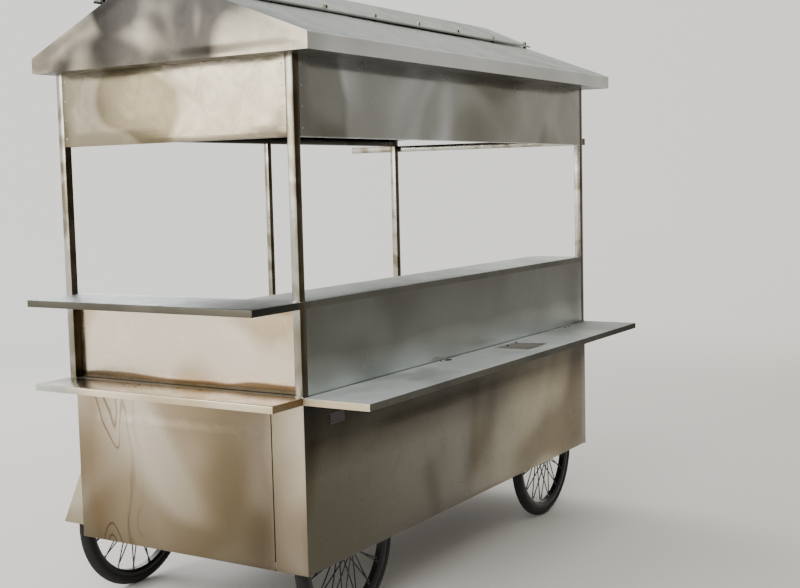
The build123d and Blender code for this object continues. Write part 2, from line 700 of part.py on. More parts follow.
for which, (low, high) in door_spans.items():
    edge, outward, hinge_x = door_hinge(which)
    grip_x = (high if which == "head" else low) + outward * 2 * lip
    grip_ends = [door_middle_z - handle_length / 2, door_middle_z + handle_length / 2]
    with BuildPart() as door:
        block((low, door_face_y, door_height[0]), (high, door_outside, door_height[1]))
        block((low + sheet, door_face_y, door_height[0] + sheet),
              (high - sheet, door_outside - sheet, door_height[1] - sheet), mode=Mode.SUBTRACT)
        with BuildLine() as bend:
            FilletPolyline((grip_x, door_outside - sheet / 2, grip_ends[0]),
                           (grip_x, door_outside + handle_stand_off, grip_ends[0]),
                           (grip_x, door_outside + handle_stand_off, grip_ends[1]),
                           (grip_x, door_outside - sheet / 2, grip_ends[1]), radius=2 * handle_radius)
        with BuildSketch(Plane(origin=bend.line @ 0, z_dir=bend.line % 0)):
            Circle(handle_radius)
        sweep(path=bend.line)
    save(door, f"{which}_door")
    with BuildPart() as door_leaves:
        for z in hinge_heights:
            inner = edge - outward * leaf_reach
            block((min(inner, hinge_x), door_outside, z - knuckle_length / 2),
                  (max(inner, hinge_x), door_outside + sheet, z + knuckle_length / 2))
            block((hinge_x - sheet, door_hinge_y, z - knuckle_length / 2),
                  (hinge_x + sheet, door_outside + sheet, z + knuckle_length / 2))
            with Locations((hinge_x, door_hinge_y, z)):
                Cylinder(knuckle_radius, knuckle_length)
                Cylinder(hinge_pin_radius + running_gap, knuckle_length, mode=Mode.SUBTRACT)
    save(door_leaves, f"{which}_door_leaves")

with BuildPart() as hinge_wall_leaves:
    for which in shelves:
        add(shelf_piece(which, fixed_leaf, hinge_places(which)))
    half = 1.5 * knuckle_length
    for which in door_spans:
        edge, outward, hinge_x = door_hinge(which)
        leaf_end = hinge_x + outward * leaf_reach
        for z in hinge_heights:
            block((min(leaf_end, hinge_x), back_y, z - half),
                  (max(leaf_end, hinge_x), back_y + sheet, z + half))
            for start in (z - half, z + knuckle_length / 2 + side_gap):
                length = knuckle_length - side_gap
                with Locations((hinge_x, door_hinge_y, start + length / 2)):
                    Cylinder(knuckle_radius, length)
                block((hinge_x - sheet, back_y, start), (hinge_x + sheet, door_hinge_y, start + length))
            with Locations((hinge_x, door_hinge_y, z)):
                Cylinder(hinge_pin_radius, 3 * knuckle_length)
save(hinge_wall_leaves, "hinge_wall_leaves")

# ---------------------------------------------------------------- wheels
bead_half, rim_half, rim_edge = 17.0, 19.0, 8.0
hub_barrel, hub_bore, hub_end = 21.0, 12.0, 23.0
flange_middle, flange_half = 27.0, 2.0
tread_radius = tyre_width / 2
with BuildPart() as tyre:
    with BuildSketch(Plane.YZ):
        with BuildLine():
            Polyline((-tread_radius, wheel_radius - tread_radius),
                     (-bead_half, rim_seat_radius + rim_edge), (-bead_half, rim_seat_radius),
                     (bead_half, rim_seat_radius), (bead_half, rim_seat_radius + rim_edge),
                     (tread_radius, wheel_radius - tread_radius))
            ThreePointArc((tread_radius, wheel_radius - tread_radius), (0, wheel_radius),
                          (-tread_radius, wheel_radius - tread_radius))
        make_face()
    revolve(axis=Axis.Y)

seat = hub_half_length - bearing_width
flange_in, flange_out = flange_middle - flange_half, flange_middle + flange_half
hub_outline = [(seat, bearing_radius), (hub_half_length, bearing_radius), (hub_half_length, hub_end),
               (flange_out, hub_end), (flange_out, hub_flange_radius), (flange_in, hub_flange_radius),
               (flange_in, hub_barrel)]
rim_outline = [(12, rim_inner_radius), (rim_half, rim_seat_radius - 4),
               (rim_half, rim_seat_radius + rim_edge), (bead_half, rim_seat_radius + rim_edge),
               (bead_half, rim_seat_radius)]
spoke_lean, rim_spread, spoke_bite = 4.1, 4.0, 2.0
with BuildPart() as spoked_wheel:
    with BuildSketch(Plane.YZ):
        with BuildLine():
            Polyline(*hub_outline, *[(-y, r) for y, r in reversed(hub_outline)],
                     (-seat, hub_bore), (seat, hub_bore), close=True)
        make_face()
    revolve(axis=Axis.Y)
    with BuildSketch(Plane.YZ):
        with BuildLine():
            Polyline(*rim_outline, *[(-y, r) for y, r in reversed(rim_outline)], close=True)
        make_face()
    revolve(axis=Axis.Y)
    for n in range(spoke_count):
        side = 1 if n % 2 == 0 else -1
        hub_angle = radians(360 / spoke_count * n)
        rim_angle = hub_angle + radians(spoke_lean * side)
        start_radius, end_radius = hub_flange_radius - spoke_bite, rim_inner_radius + spoke_bite
        start = Vector(sin(hub_angle) * start_radius, side * flange_middle,
                       cos(hub_angle) * start_radius)
        end = Vector(sin(rim_angle) * end_radius, side * rim_spread, cos(rim_angle) * end_radius)
        with BuildSketch(Plane(origin=start, z_dir=end - start)):
            Circle(spoke_radius)
        extrude(amount=(end - start).length)

with BuildPart() as bearings:
    with BuildSketch(Plane.YZ):
        for middle in (-seat - bearing_width / 2, seat + bearing_width / 2):
            with Locations((middle, (bearing_radius + spindle_radius + running_gap) / 2)):
                Rectangle(bearing_width, bearing_radius - spindle_radius - running_gap)
    revolve(axis=Axis.Y)

wheel_names = {("head", "service"): (0, 0), ("head", "operator"): (0, 1),
               ("tail", "service"): (1, 0), ("tail", "operator"): (1, 1)}
for (end, side), (x_index, y_index) in wheel_names.items():
    for name, piece in (("tyre", tyre), ("wheel", spoked_wheel), ("bearings", bearings)):
        with BuildPart() as placed:
            with Locations((axle_x[x_index], wheel_y[y_index], axle_z)):
                add(piece.part)
        save(placed, f"{end}_{side}_{name}")

# ---------------------------------------------------------------- small fixed pieces
plate_from_head, plate_size, plate_thickness = 154.0, (88.0, 36.0), 1.0
plate_top = shelf_height - 81.0
with BuildPart() as blank_plate:
    block((head_x + plate_from_head, service_y - plate_thickness, plate_top - plate_size[1]),
          (head_x + plate_from_head + plate_size[0], service_y, plate_top))
save(blank_plate, "blank_plate")
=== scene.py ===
"""Push vending cart: thin stainless sheets over square tube, spoked wheels, folding shelves.

+X runs from the head end to the tail end, +Y from the service side to the operator side, +Z up.
Lengths are in metres.
"""
import json
from math import cos, pi, radians, sin

import bpy
import bmesh
import numpy as np
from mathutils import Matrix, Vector


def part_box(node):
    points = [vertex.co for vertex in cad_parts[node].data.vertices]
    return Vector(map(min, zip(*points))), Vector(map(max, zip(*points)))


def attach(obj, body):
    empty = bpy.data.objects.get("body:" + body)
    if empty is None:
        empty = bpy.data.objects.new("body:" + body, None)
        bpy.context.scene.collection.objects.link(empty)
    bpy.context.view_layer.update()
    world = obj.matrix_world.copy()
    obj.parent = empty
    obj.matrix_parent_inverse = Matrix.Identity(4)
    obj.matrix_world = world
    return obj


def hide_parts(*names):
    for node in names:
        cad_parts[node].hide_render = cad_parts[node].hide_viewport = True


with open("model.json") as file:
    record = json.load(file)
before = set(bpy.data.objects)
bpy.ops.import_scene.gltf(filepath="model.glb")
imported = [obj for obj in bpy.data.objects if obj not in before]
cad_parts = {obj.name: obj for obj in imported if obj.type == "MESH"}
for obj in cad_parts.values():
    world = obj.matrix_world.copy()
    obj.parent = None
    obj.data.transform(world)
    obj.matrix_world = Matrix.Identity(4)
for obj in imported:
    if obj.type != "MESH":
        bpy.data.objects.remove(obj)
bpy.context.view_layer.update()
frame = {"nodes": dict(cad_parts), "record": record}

SHEET = 0.0015            # thickness of every sheet
HEM = 0.012               # width of a panel's lower flange
SHEET_BEND = 0.0035       # outer radius of a fold
LIP = 0.025               # turned-down edge of shelves and counter
TUBE_CORNER = 0.003       # outer corner radius of square tube
EDGE_CALM = 0.05          # distance over which waves fade out towards an edge

UP = np.array([0.0, 0.0, 1.0])


# ---------------------------------------------------------------- mesh
def grid_faces(rows, columns, wrap_rows=False, wrap_columns=False):
    """Quads between neighbours of a rows by columns grid of points, closed round where asked."""
    row = np.arange(rows if wrap_rows else rows - 1)[:, None]
    column = np.arange(columns if wrap_columns else columns - 1)[None, :]
    next_row, next_column = (row + 1) % rows, (column + 1) % columns
    corners = (row * columns + column, row * columns + next_column,
               next_row * columns + next_column, next_row * columns + column)
    return np.stack(np.broadcast_arrays(*corners), axis=-1).reshape(-1, 4).tolist()


def joined(shapes):
    """Several (points, faces) pairs as one."""
    points, faces, count = [], [], 0
    for some_points, some_faces in shapes:
        some_points = np.asarray(some_points, float).reshape(-1, 3)
        points.append(some_points)
        faces += [[corner + count for corner in face] for face in some_faces]
        count += len(some_points)
    return np.concatenate(points), faces


def make_piece(name, shapes, finish, body, replaced=(), crease=35.0):
    """An object from (points, faces) pairs, smooth but for edges sharper than crease degrees."""
    points, faces = joined(shapes)
    mesh = bpy.data.meshes.new(name)
    mesh.from_pydata(points.tolist(), [], faces)
    edit = bmesh.new()
    edit.from_mesh(mesh)
    bmesh.ops.recalc_face_normals(edit, faces=edit.faces)
    edit.to_mesh(mesh)
    edit.free()
    mesh.shade_smooth()
    mesh.set_sharp_from_angle(angle=radians(crease))
    mesh.materials.append(finish)
    piece = bpy.data.objects.new(name, mesh)
    bpy.context.scene.collection.objects.link(piece)
    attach(piece, body)
    if replaced:
        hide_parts(*replaced)
    return piece


def solids(name):
    """(low, high) corners of each separate solid of a CAD node.

    Points at one place share a number; each edge then hands the lower number on until none changes.
    """
    mesh = frame["nodes"][name].data
    points = np.empty(len(mesh.vertices) * 3, np.float32)
    mesh.vertices.foreach_get("co", points)
    corners, index = np.unique(np.round(points.reshape(-1, 3), 5), axis=0, return_inverse=True)
    edges = np.empty(len(mesh.edges) * 2, np.int32)
    mesh.edges.foreach_get("vertices", edges)
    edges = index.reshape(-1)[edges.reshape(-1, 2)]
    label, before = np.arange(len(corners)), None
    while before is None or (label != before).any():
        before = label.copy()
        lowest = np.minimum(label[edges[:, 0]], label[edges[:, 1]])
        np.minimum.at(label, edges[:, 0], lowest)
        np.minimum.at(label, edges[:, 1], lowest)
    return [(corners[label == k].min(axis=0), corners[label == k].max(axis=0))
            for k in np.unique(label)]


def waves(width, height, across, up, seed, depth, margins=(0, 0, 0, 0), creases=()):
    """How far a thin sheet stands out at each point, from nothing to depth.

    It adds slow cosine waves crossing at odd angles, a few broad pinched dents, and creases, each a
    narrow ridge along a line that swings from side to side as it climbs. All of it fades to nothing
    at the margins.
    """
    rng = np.random.default_rng(seed)
    field = np.zeros(np.broadcast(across, up).shape)
    for length in rng.uniform(0.35, 1.3, 6):
        turn, phase = rng.uniform(0, 2 * pi, 2)
        field = field + length * np.cos(2 * pi / length * (across * cos(turn) + up * sin(turn)) + phase)
    for _ in range(int(3 + 5 * width * height)):
        x, y = rng.uniform(0.05, 0.95, 2) * (width, height)
        reach, strength = rng.uniform(0.05, 0.14), rng.uniform(-1.1, 0.8)
        lean = rng.uniform(0.3, 1.0)
        away = ((across - x) ** 2 * lean + (up - y) ** 2 / lean) / reach ** 2
        field = field + strength * np.exp(-away)
    field = (field - field.min()) / (field.max() - field.min())
    for start, swing, turns, phase, breadth, height_share in creases:
        line = start + swing * np.sin(turns * up + phase)
        field = field + height_share * np.exp(-((across - line) / breadth) ** 2)
    left, right, bottom, top = margins
    for distance in (across - left, width - right - across, up - bottom, height - top - up):
        share = np.clip(distance / EDGE_CALM, 0, 1)
        field = field * share * share * (3 - 2 * share)
    return depth * field


def shell(points, normals, thickness):
    """A closed thin wall: a grid of points, the same grid in by the thickness, and a rim."""
    rows, columns = points.shape[:2]
    count = rows * columns
    outer = grid_faces(rows, columns)
    inner = [[corner + count for corner in reversed(face)] for face in outer]
    ring = np.concatenate([np.arange(columns), columns * np.arange(2, rows + 1) - 1,
                           rows * columns - 1 - np.arange(1, columns),
                           columns * np.arange(rows - 2, 0, -1)])
    following = np.roll(ring, -1)
    rim = np.stack([ring, ring + count, following + count, following], axis=1).tolist()
    both = np.concatenate([points.reshape(-1, 3), (points - normals * thickness).reshape(-1, 3)])
    return both, outer + inner + rim


def steps(length, size, least=2):
    """How many grid points a length needs at a given spacing."""
    return max(least, int(round(length / size)) + 1)


def hung_panel(low, high, out, seed, depth=0.004, margins=(0, 0, 0, 0), hem=HEM, creases=()):
    """A sheet with waves, folded in along its lower edge.

    Its section runs in under the panel, round a quarter circle and up the sheet. It is carried
    along the panel, and each point then moves out by the waves.
    """
    out = np.asarray(out, float)
    axis = int(np.argmax(np.abs(out)))
    along = np.array([1.0, 0, 0]) if axis == 1 else np.array([0, 1.0, 0])
    other = 1 - axis
    length, height = high[other] - low[other], high[2] - low[2]
    face = high[axis] if out[axis] > 0 else low[axis]
    turn = np.linspace(0, pi / 2, 4)
    rise = np.linspace(SHEET_BEND, height, steps(height, 0.018))[1:]
    inset = np.concatenate([[hem] if hem else [], SHEET_BEND * (1 - np.sin(turn)), 0 * rise])
    level = np.concatenate([[0] if hem else [], SHEET_BEND * (1 - np.cos(turn)), rise])
    lean = np.concatenate([[0] if hem else [], np.sin(turn), 1 + 0 * rise])
    distance = np.linspace(0, length, steps(length, 0.018))
    move = waves(length, height, distance[None, :], level[:, None], seed, depth, margins, creases)
    start = along * low[other] + out * abs(face) * np.sign(face * out[axis]) + UP * low[2]
    points = (start + along * distance[None, :, None] + UP * level[:, None, None]
              + out * (move - inset[:, None])[..., None])
    normals = (out * lean[:, None] - UP * np.sqrt(1 - lean ** 2)[:, None])[:, None, :]
    return shell(points, normals + 0 * points, SHEET)


def rounded(corners, radius, spacing=0.02):
    """A bent line through (y, z) corners: each inner corner becomes a short curve that starts and
    ends a radius away, and straight runs get points at the spacing."""
    corners = np.asarray(corners, float)
    points = [corners[:1]]
    for before, corner, after in zip(corners, corners[1:], corners[2:]):
        entry = corner + (before - corner) / np.linalg.norm(before - corner) * radius
        leave = corner + (after - corner) / np.linalg.norm(after - corner) * radius
        share = np.linspace(0, 1, 5)[:, None]
        points.append((1 - share) ** 2 * entry + 2 * share * (1 - share) * corner + share ** 2 * leave)
    points.append(corners[-1:])
    points = np.concatenate(points)
    runs = [np.linspace(a, b, steps(np.linalg.norm(b - a), spacing))[:-1]
            for a, b in zip(points, points[1:])]
    return np.concatenate(runs + [points[-1:]])


def formed_sheet(corners, x_low, x_high, seed, depth, folds):
    """A folded sheet along X: a bent (y, z) line carried from end to end.

    Each point moves along the line's normal by the waves, which fade out near the ends, both long
    edges and each fold, given as a place in (y, z).
    """
    line = rounded(corners, 0.005)
    ahead = np.gradient(line, axis=0)
    ahead = ahead / np.linalg.norm(ahead, axis=1, keepdims=True)
    normal = np.column_stack([-ahead[:, 1], ahead[:, 0]])
    normal = normal * np.sign(normal[np.argmax(np.abs(normal[:, 1])), 1])
    along = np.concatenate([[0], np.cumsum(np.linalg.norm(np.diff(line, axis=0), axis=1))])
    distance = np.linspace(0, x_high - x_low, steps(x_high - x_low, 0.02))
    move = waves(x_high - x_low, along[-1], distance[None, :], along[:, None], seed, depth)
    for fold in folds:
        share = np.clip(np.linalg.norm(line - fold, axis=1) / EDGE_CALM, 0, 1)[:, None]
        move = move * share * share * (3 - 2 * share)
    shape = np.zeros((len(line), len(distance), 3))
    shape[..., 0] = x_low + distance
    shape[..., 1:] = line[:, None, :] + normal[:, None, :] * move[..., None]
    out = np.zeros_like(shape)
    out[..., 1:] = normal[:, None, :]
    return shell(shape, out, SHEET)


def gable_sheet(low, high, ridge_y, eave_top, out_x, seed, depth):
    """A gable: upright lines from its level lower edge to the two slopes, moved out by the waves."""
    y = np.unique(np.concatenate([np.linspace(low[1], ridge_y, 34), np.linspace(ridge_y, high[1], 34)]))
    top = np.interp(y, [low[1], ridge_y, high[1]], [eave_top, high[2], eave_top])
    share = np.linspace(0, 1, 22)[:, None]
    points = np.zeros((len(share), len(y), 3))
    points[..., 1] = y
    points[..., 2] = low[2] + share * (top - low[2])
    field = waves(high[1] - low[1], high[2] - low[2], points[..., 1] - low[1],
                  points[..., 2] - low[2], seed, depth)
    if out_x > 0:      # the tail gable is the cart's very end, so its waves only go inward
        field = -field ** 2 / depth
    near_slope = np.clip((1 - share) * (top - low[2]) / EDGE_CALM, 0, 1)
    inner = np.sign(high[0] + low[0]) * out_x < 0
    face = low[0] if out_x < 0 else high[0]
    way = -out_x if inner else out_x
    points[..., 0] = face + way * field * near_slope ** 2 * (3 - 2 * near_slope)
    return shell(points, np.array([out_x, 0.0, 0.0]) + 0 * points, SHEET)


def square_tube(low, high, corner=TUBE_CORNER):
    """Square tube along the longest side of its box.

    Its section is a square pulled in by the corner radius, plus a quarter circle at each corner.
    """
    low, high = np.asarray(low, float), np.asarray(high, float)
    axis = int(np.argmax(high - low))
    across = [k for k in range(3) if k != axis]
    middle, half = (low + high) / 2, (high - low) / 2 - corner
    turn = (np.arange(4)[:, None] * pi / 2 + np.linspace(0, pi / 2, 4)[None, :]).reshape(-1)
    square = np.repeat([[1, 1], [-1, 1], [-1, -1], [1, -1]], 4, axis=0)
    points = np.zeros((2, len(turn), 3))
    points[..., across[0]] = middle[across[0]] + square[:, 0] * half[across[0]] + corner * np.cos(turn)
    points[..., across[1]] = middle[across[1]] + square[:, 1] * half[across[1]] + corner * np.sin(turn)
    points[..., axis] = np.array([low[axis], high[axis]])[:, None]
    ends = [list(range(len(turn))), list(range(2 * len(turn) - 1, len(turn) - 1, -1))]
    return points, grid_faces(2, len(turn), wrap_columns=True) + ends


def inset_outline(outline, distance):
    """A right-angled outline, running anticlockwise, with every side moved in by a distance."""
    following, before = np.roll(outline, -1, axis=0), np.roll(outline, 1, axis=0)
    ahead = following - outline
    behind = outline - before
    ahead = ahead / np.linalg.norm(ahead, axis=1, keepdims=True)
    behind = behind / np.linalg.norm(behind, axis=1, keepdims=True)
    inward = np.stack([-ahead[:, 1] - behind[:, 1], ahead[:, 0] + behind[:, 0]], axis=1)
    return outline + inward * distance


def folded_pan(outline, top, lip=LIP, bend=SHEET_BEND):
    """A tray turned over, open below, its wall as thick as the sheet.

    Its section rises up the lip, turns in over a quarter circle and ends in the flat top; the
    inner skin is the same section moved in and down by the sheet.
    """
    outline = np.asarray(outline, float)
    turn = np.linspace(0, pi / 2, 5)
    rings = []
    for shift, radius in ((0.0, bend), (SHEET, bend - SHEET)):
        inset = np.concatenate([[shift], shift + radius * (1 - np.cos(turn))])
        level = np.concatenate([[-lip], -shift - radius * (1 - np.sin(turn))])
        skin = [np.column_stack([inset_outline(outline, i), np.full(len(outline), top + z)])
                for i, z in zip(inset, level)]
        rings.append(np.array(skin))
    points = np.concatenate([rings[0], rings[1][::-1]])
    rows, columns = points.shape[:2]
    middle = rows // 2
    faces = [face for k, face in enumerate(grid_faces(rows, columns, True, True))
             if k // columns != middle - 1]
    upper = [(middle - 1) * columns + k for k in range(columns)]
    lower = [middle * columns + k for k in reversed(range(columns))]
    return points, faces + [upper, lower]


def box_corners(low, high):
    """Outline of a box seen from above, anticlockwise."""
    return [(low[0], low[1]), (high[0], low[1]), (high[0], high[1]), (low[0], high[1])]


# ---------------------------------------------------------------- finishes
def tone(code):
    """A colour from its sRGB hex value."""
    values = [int(code[k:k + 2], 16) / 255 for k in (1, 3, 5)]
    return [v / 12.92 if v <= 0.04045 else ((v + 0.055) / 1.055) ** 2.4 for v in values] + [1.0]


def add_node(tree, kind, settings=None, **inputs):
    """A shader node with its settings and its inputs: a value, or a (node, output name) link."""
    node = tree.nodes.new(kind)
    for key, value in (settings or {}).items():
        setattr(node, key, value)
    for key, value in inputs.items():
        socket = node.inputs[int(key[1:])] if key[0] == "_" else node.inputs[key.replace("_", " ")]
        if isinstance(value, tuple) and hasattr(value[0], "outputs"):
            output = int(value[1][1:]) if value[1][0] == "_" else value[1]
            tree.links.new(value[0].outputs[output], socket)
        else:
            socket.default_value = value
    return node


def blank_material(name):
    """A new material with its Principled shader ready: (material, node tree, shader)."""
    material = bpy.data.materials.new(name)
    material.use_nodes = True
    tree = material.node_tree
    return material, tree, tree.nodes["Principled BSDF"]


def ramp(tree, factor, stops):
    """A colour ramp with (place, hex colour) stops."""
    node = add_node(tree, "ShaderNodeValToRGB", Fac=factor)
    while len(node.color_ramp.elements) < len(stops):
        node.color_ramp.elements.new(0.5)
    for element, (place, code) in zip(node.color_ramp.elements, stops):
        element.position, element.color = place, tone(code)
    return node


def rolled_steel(name, axis, painted_reflection_tints, shade, painted_reflection_patches, roughness=(0.16, 0.32), wave_depth=0.010,
                 streak=(3.0, 3.0, 160.0), painted_facing_shade=("#FFFFFF", "#FFFFFF"), sway=0.0, painted_doubled_reflection=None,
                 top="#FFFFFF"):
    """Thin cold-rolled stainless sheet.

    Its tint along an axis, given as (place, colour) stops, is painted reflection, and shade is painted
    shade that multiplies it by height. Softly bounded areas about 300 mm wide, a shade apart, are the
    painted reflection a buckled mirror gathers. Colours for faces turned to the service side and to
    the head end, and top for the faces turned up, paint light and shade by the way a face turns. sway
    lets the tint wander to either side, and the line setting = (place where lines start, place where
    they are full, colour) paints, as painted reflection, the thin dark lines where a buckle doubles a
    reflection. Slow waves bend the reflections, and smears about 100 mm wide dull them.
    """
    material, tree, shader = blank_material(name)
    place = add_node(tree, "ShaderNodeTexCoord")
    axes = add_node(tree, "ShaderNodeSeparateXYZ", Vector=(place, "Object"))
    slow = add_node(tree, "ShaderNodeTexNoise", Vector=(place, "Object"), Scale=2.6, Detail=1.0,
                    Roughness=0.4, Distortion=0.4)
    wander = add_node(tree, "ShaderNodeMapRange", Value=(slow, "Fac"), From_Min=0.3, From_Max=0.7,
                      To_Min=-sway, To_Max=sway)
    swayed = add_node(tree, "ShaderNodeMath", {"operation": "ADD"}, _0=(axes, axis),
                      _1=(wander, "Result"))
    colours = []
    # Painted reflection along the axis, times painted shade by height.
    for measure, stops in (((swayed, "Value"), painted_reflection_tints), ((axes, "Z"), shade)):
        low, high = stops[0][0], stops[-1][0]
        level = add_node(tree, "ShaderNodeMapRange", Value=measure, From_Min=low, From_Max=high)
        scaled = [((at - low) / (high - low), code) for at, code in stops]
        colours.append(ramp(tree, (level, "Result"), scaled))
    toned = add_node(tree, "ShaderNodeMix", {"data_type": "RGBA", "blend_type": "MULTIPLY"}, _0=1.0,
                     _6=(colours[0], "Color"), _7=(colours[1], "Color"))
    # Painted light and shade by the way a face turns.
    turned = add_node(tree, "ShaderNodeSeparateXYZ", Vector=(place, "Normal"))
    for letter, code, full in zip("YXZ", (*painted_facing_shade, top), (-1.0, -1.0, 1.0)):
        level = add_node(tree, "ShaderNodeMapRange", Value=(turned, letter), From_Min=full, From_Max=0.0)
        cast = ramp(tree, (level, "Result"), [(0.0, code), (0.6, "#FFFFFF"), (1.0, "#FFFFFF")])
        toned = add_node(tree, "ShaderNodeMix", {"data_type": "RGBA", "blend_type": "MULTIPLY"}, _0=1.0,
                         _6=(toned, "_2"), _7=(cast, "Color"))
    # Painted reflection: thin dark lines where a buckle doubles it.
    if painted_doubled_reflection:
        start, full, code = painted_doubled_reflection
        tall = add_node(tree, "ShaderNodeMapping", Vector=(place, "Object"), Scale=(1.0, 5.0, 1.5))
        field = add_node(tree, "ShaderNodeTexNoise", Vector=(tall, "Vector"), Scale=1.0, Detail=0.6,
                         Distortion=0.9)
        clear = [(at, "#FFFFFF") for at in (0.0, 0.405, 0.435, 0.495, 0.525, 1.0)]
        lines = ramp(tree, (field, "Fac"), sorted(clear + [(0.42, code), (0.51, code)]))
        reach = add_node(tree, "ShaderNodeMapRange", Value=(axes, axis), From_Min=start, From_Max=full)
        toned = add_node(tree, "ShaderNodeMix", {"data_type": "RGBA", "blend_type": "MULTIPLY"},
                         _0=(reach, "Result"), _6=(toned, "_2"), _7=(lines, "Color"))
    # Painted reflection: soft areas a shade apart, as a buckled mirror gathers them.
    scale, code, low, high = painted_reflection_patches
    pools = add_node(tree, "ShaderNodeTexNoise", Vector=(place, "Object"), Scale=scale, Detail=0.8,
                     Roughness=0.4, Distortion=1.1)
    bounded = add_node(tree, "ShaderNodeMapRange", {"interpolation_type": "SMOOTHSTEP"},
                       Value=(pools, "Fac"), From_Min=low, From_Max=high)
    pooled = add_node(tree, "ShaderNodeMix", {"data_type": "RGBA", "blend_type": "MULTIPLY"},
                      _0=(bounded, "Result"), _6=(toned, "_2"), _7=tone(code))
    tree.links.new(pooled.outputs[2], shader.inputs["Base Color"])
    smear = add_node(tree, "ShaderNodeTexNoise", Vector=(place, "Object"), Scale=9.0, Detail=5.0,
                     Roughness=0.62, Distortion=1.6)
    dulled = add_node(tree, "ShaderNodeMapRange", Value=(smear, "Fac"), From_Min=0.3, From_Max=0.75,
                      To_Min=roughness[0], To_Max=roughness[1])
    tree.links.new(dulled.outputs["Result"], shader.inputs["Roughness"])
    bent = add_node(tree, "ShaderNodeBump", Height=(slow, "Fac"), Strength=1.0, Distance=wave_depth)
    stretched = add_node(tree, "ShaderNodeMapping", Vector=(place, "Object"), Scale=streak)
    rolled = add_node(tree, "ShaderNodeTexNoise", Vector=(stretched, "Vector"), Scale=1.0, Detail=2.0)
    grained = add_node(tree, "ShaderNodeBump", Height=(rolled, "Fac"), Strength=0.25,
                       Distance=0.0004, Normal=(bent, "Normal"))
    tree.links.new(grained.outputs["Normal"], shader.inputs["Normal"])
    shader.inputs["Metallic"].default_value = 1.0
    return material


EVEN = [(0.0, "#FFFFFF"), (2.4, "#FFFFFF")]
# Polished end panels: the warm cast of the ground they mirror is painted reflection, deeper towards
# the foot with painted shade; thin dark lines of painted reflection run where a buckle doubles it.
end_panel_steel = rolled_steel(
    "stainless_2b_end_panel", "Y",
    [(-0.55, "#CFC1AD"), (-0.44, "#A4977F"), (-0.40, "#8E8271"), (-0.2, "#A3967F"), (-0.05, "#C4B59D"),
     (0.15, "#E2D5C3"), (0.30, "#DACCB6"), (0.38, "#C9BAA4"), (0.46, "#BAA78C"), (0.53, "#C6BAA6")],
    [(0.28, "#B2B0AD"), (0.55, "#E0DFDD"), (0.90, "#FFFFFF")], (1.6, "#CFC8BB", 0.44, 0.62),
    sway=0.04, painted_doubled_reflection=(0.18, 0.34, "#A89B88"))
# The upper end panel: painted reflection, warm beige, with painted shade in a band along its foot.
end_upper_steel = rolled_steel(
    "stainless_2b_upper_end_panel", "Z",
    [(0.88, "#786650"), (0.915, "#8A765D"), (0.922, "#F0E2CC"), (1.19, "#F7E8D4")], EVEN,
    (1.9, "#DDD3C0", 0.46, 0.62), sway=0.016)
# The end fascia: painted reflection, beige, with soft grey areas of painted reflection.
end_fascia_steel = rolled_steel(
    "stainless_2b_end_fascia", "Z", [(1.76, "#A2967F"), (2.03, "#A89D88")], EVEN,
    (2.2, "#BFBCB0", 0.50, 0.58))
# The gables: painted reflection, with strong dark and light areas of painted reflection.
gable_steel = rolled_steel(
    "stainless_2b_gable", "Z", [(2.03, "#978E7C"), (2.2, "#857F73"), (2.35, "#7F796F")], EVEN,
    (2.9, "#77787E", 0.36, 0.56), wave_depth=0.02)
# The service side faces open ground: its darker colour, warming towards the tail end, is painted
# reflection of that ground, and painted shadow darkens it in a band under the shelf.
service_steel = rolled_steel(
    "stainless_2b_service_panel", "X",
    [(-1.08, "#615D50"), (-0.7, "#666257"), (0.1, "#78736A"), (0.7, "#A59C88"), (1.0, "#A89C84"),
     (1.29, "#958B78")],
    [(0.28, "#FFFFFF"), (0.6, "#FFFFFF"), (0.70, "#BDBAB4"), (0.78, "#84827D"), (0.86, "#605E5A")],
    (1.5, "#B9B1A2", 0.44, 0.66), sway=0.12)
# The upper service panel: painted reflection, bright at its foot and darker towards the top with painted
# shade.
service_upper_steel = rolled_steel(
    "stainless_2b_service_upper_panel", "Z",
    [(0.88, "#D6DCDC"), (0.93, "#BBC0C0"), (1.02, "#868986"), (1.19, "#7A7C78")], EVEN,
    (1.6, "#DEDDD8", 0.40, 0.68), roughness=(0.26, 0.42), wave_depth=0.005, sway=0.02)
# The service fascia: painted reflection, with a bright painted highlight from about x -0.8 to 0.
service_fascia_steel = rolled_steel(
    "stainless_2b_service_fascia", "X",
    [(-1.08, "#9FA19D"), (-0.84, "#A7A9A5"), (-0.80, "#E4E9ED"), (-0.1, "#DDE3E8"), (0.0, "#BDBFBC"),
     (0.35, "#A9A9A3"), (1.29, "#A3A49D")], EVEN, (1.7, "#CCCBC4", 0.46, 0.60), sway=0.05)
# Other sides of the body, the same sheet without the ground's painted reflection; painted shade
# darkens it towards the foot.
body_steel = rolled_steel(
    "stainless_2b_body_panel", "Z", [(0.28, "#8F897D"), (0.6, "#B3ACA0"), (2.03, "#CFC9BD")], EVEN,
    (1.3, "#CFCBC2", 0.42, 0.64))
# The operator side's and tail end's fascias are the same outside; their insides are darkened with
# painted shade.
inner_shade_fascia_steel = rolled_steel(
    "stainless_2b_fascia_painted_inner_shade", "Z", [(1.79, "#C8C2B6"), (2.03, "#CFC9BD")], EVEN,
    (1.3, "#CFCBC2", 0.42, 0.64), painted_facing_shade=("#34343A", "#34343A"))
# Wheel guards: painted reflection, beige, a little darker towards the foot.
guard_steel = rolled_steel(
    "stainless_2b_wheel_guard", "Z", [(0.28, "#BDB29F"), (0.6, "#C9BFAD")], EVEN,
    (2.4, "#CFCBC2", 0.42, 0.64))
# The roof is the same sheet left out in the weather, duller and streaked down its slopes; its slopes
# are painted a cooler grey, and its upright eave band carries a bright painted highlight.
roof_steel = rolled_steel(
    "stainless_weathered_roof", "Z", [(2.03, "#FBFDFF"), (2.085, "#F2F6F8"), (2.095, "#98A09E"),
                                      (2.2, "#9DA3A0"), (2.39, "#A6ABA6")], EVEN,
    (1.2, "#D9DBD7", 0.34, 0.70), roughness=(0.28, 0.46), streak=(120.0, 3.0, 3.0))
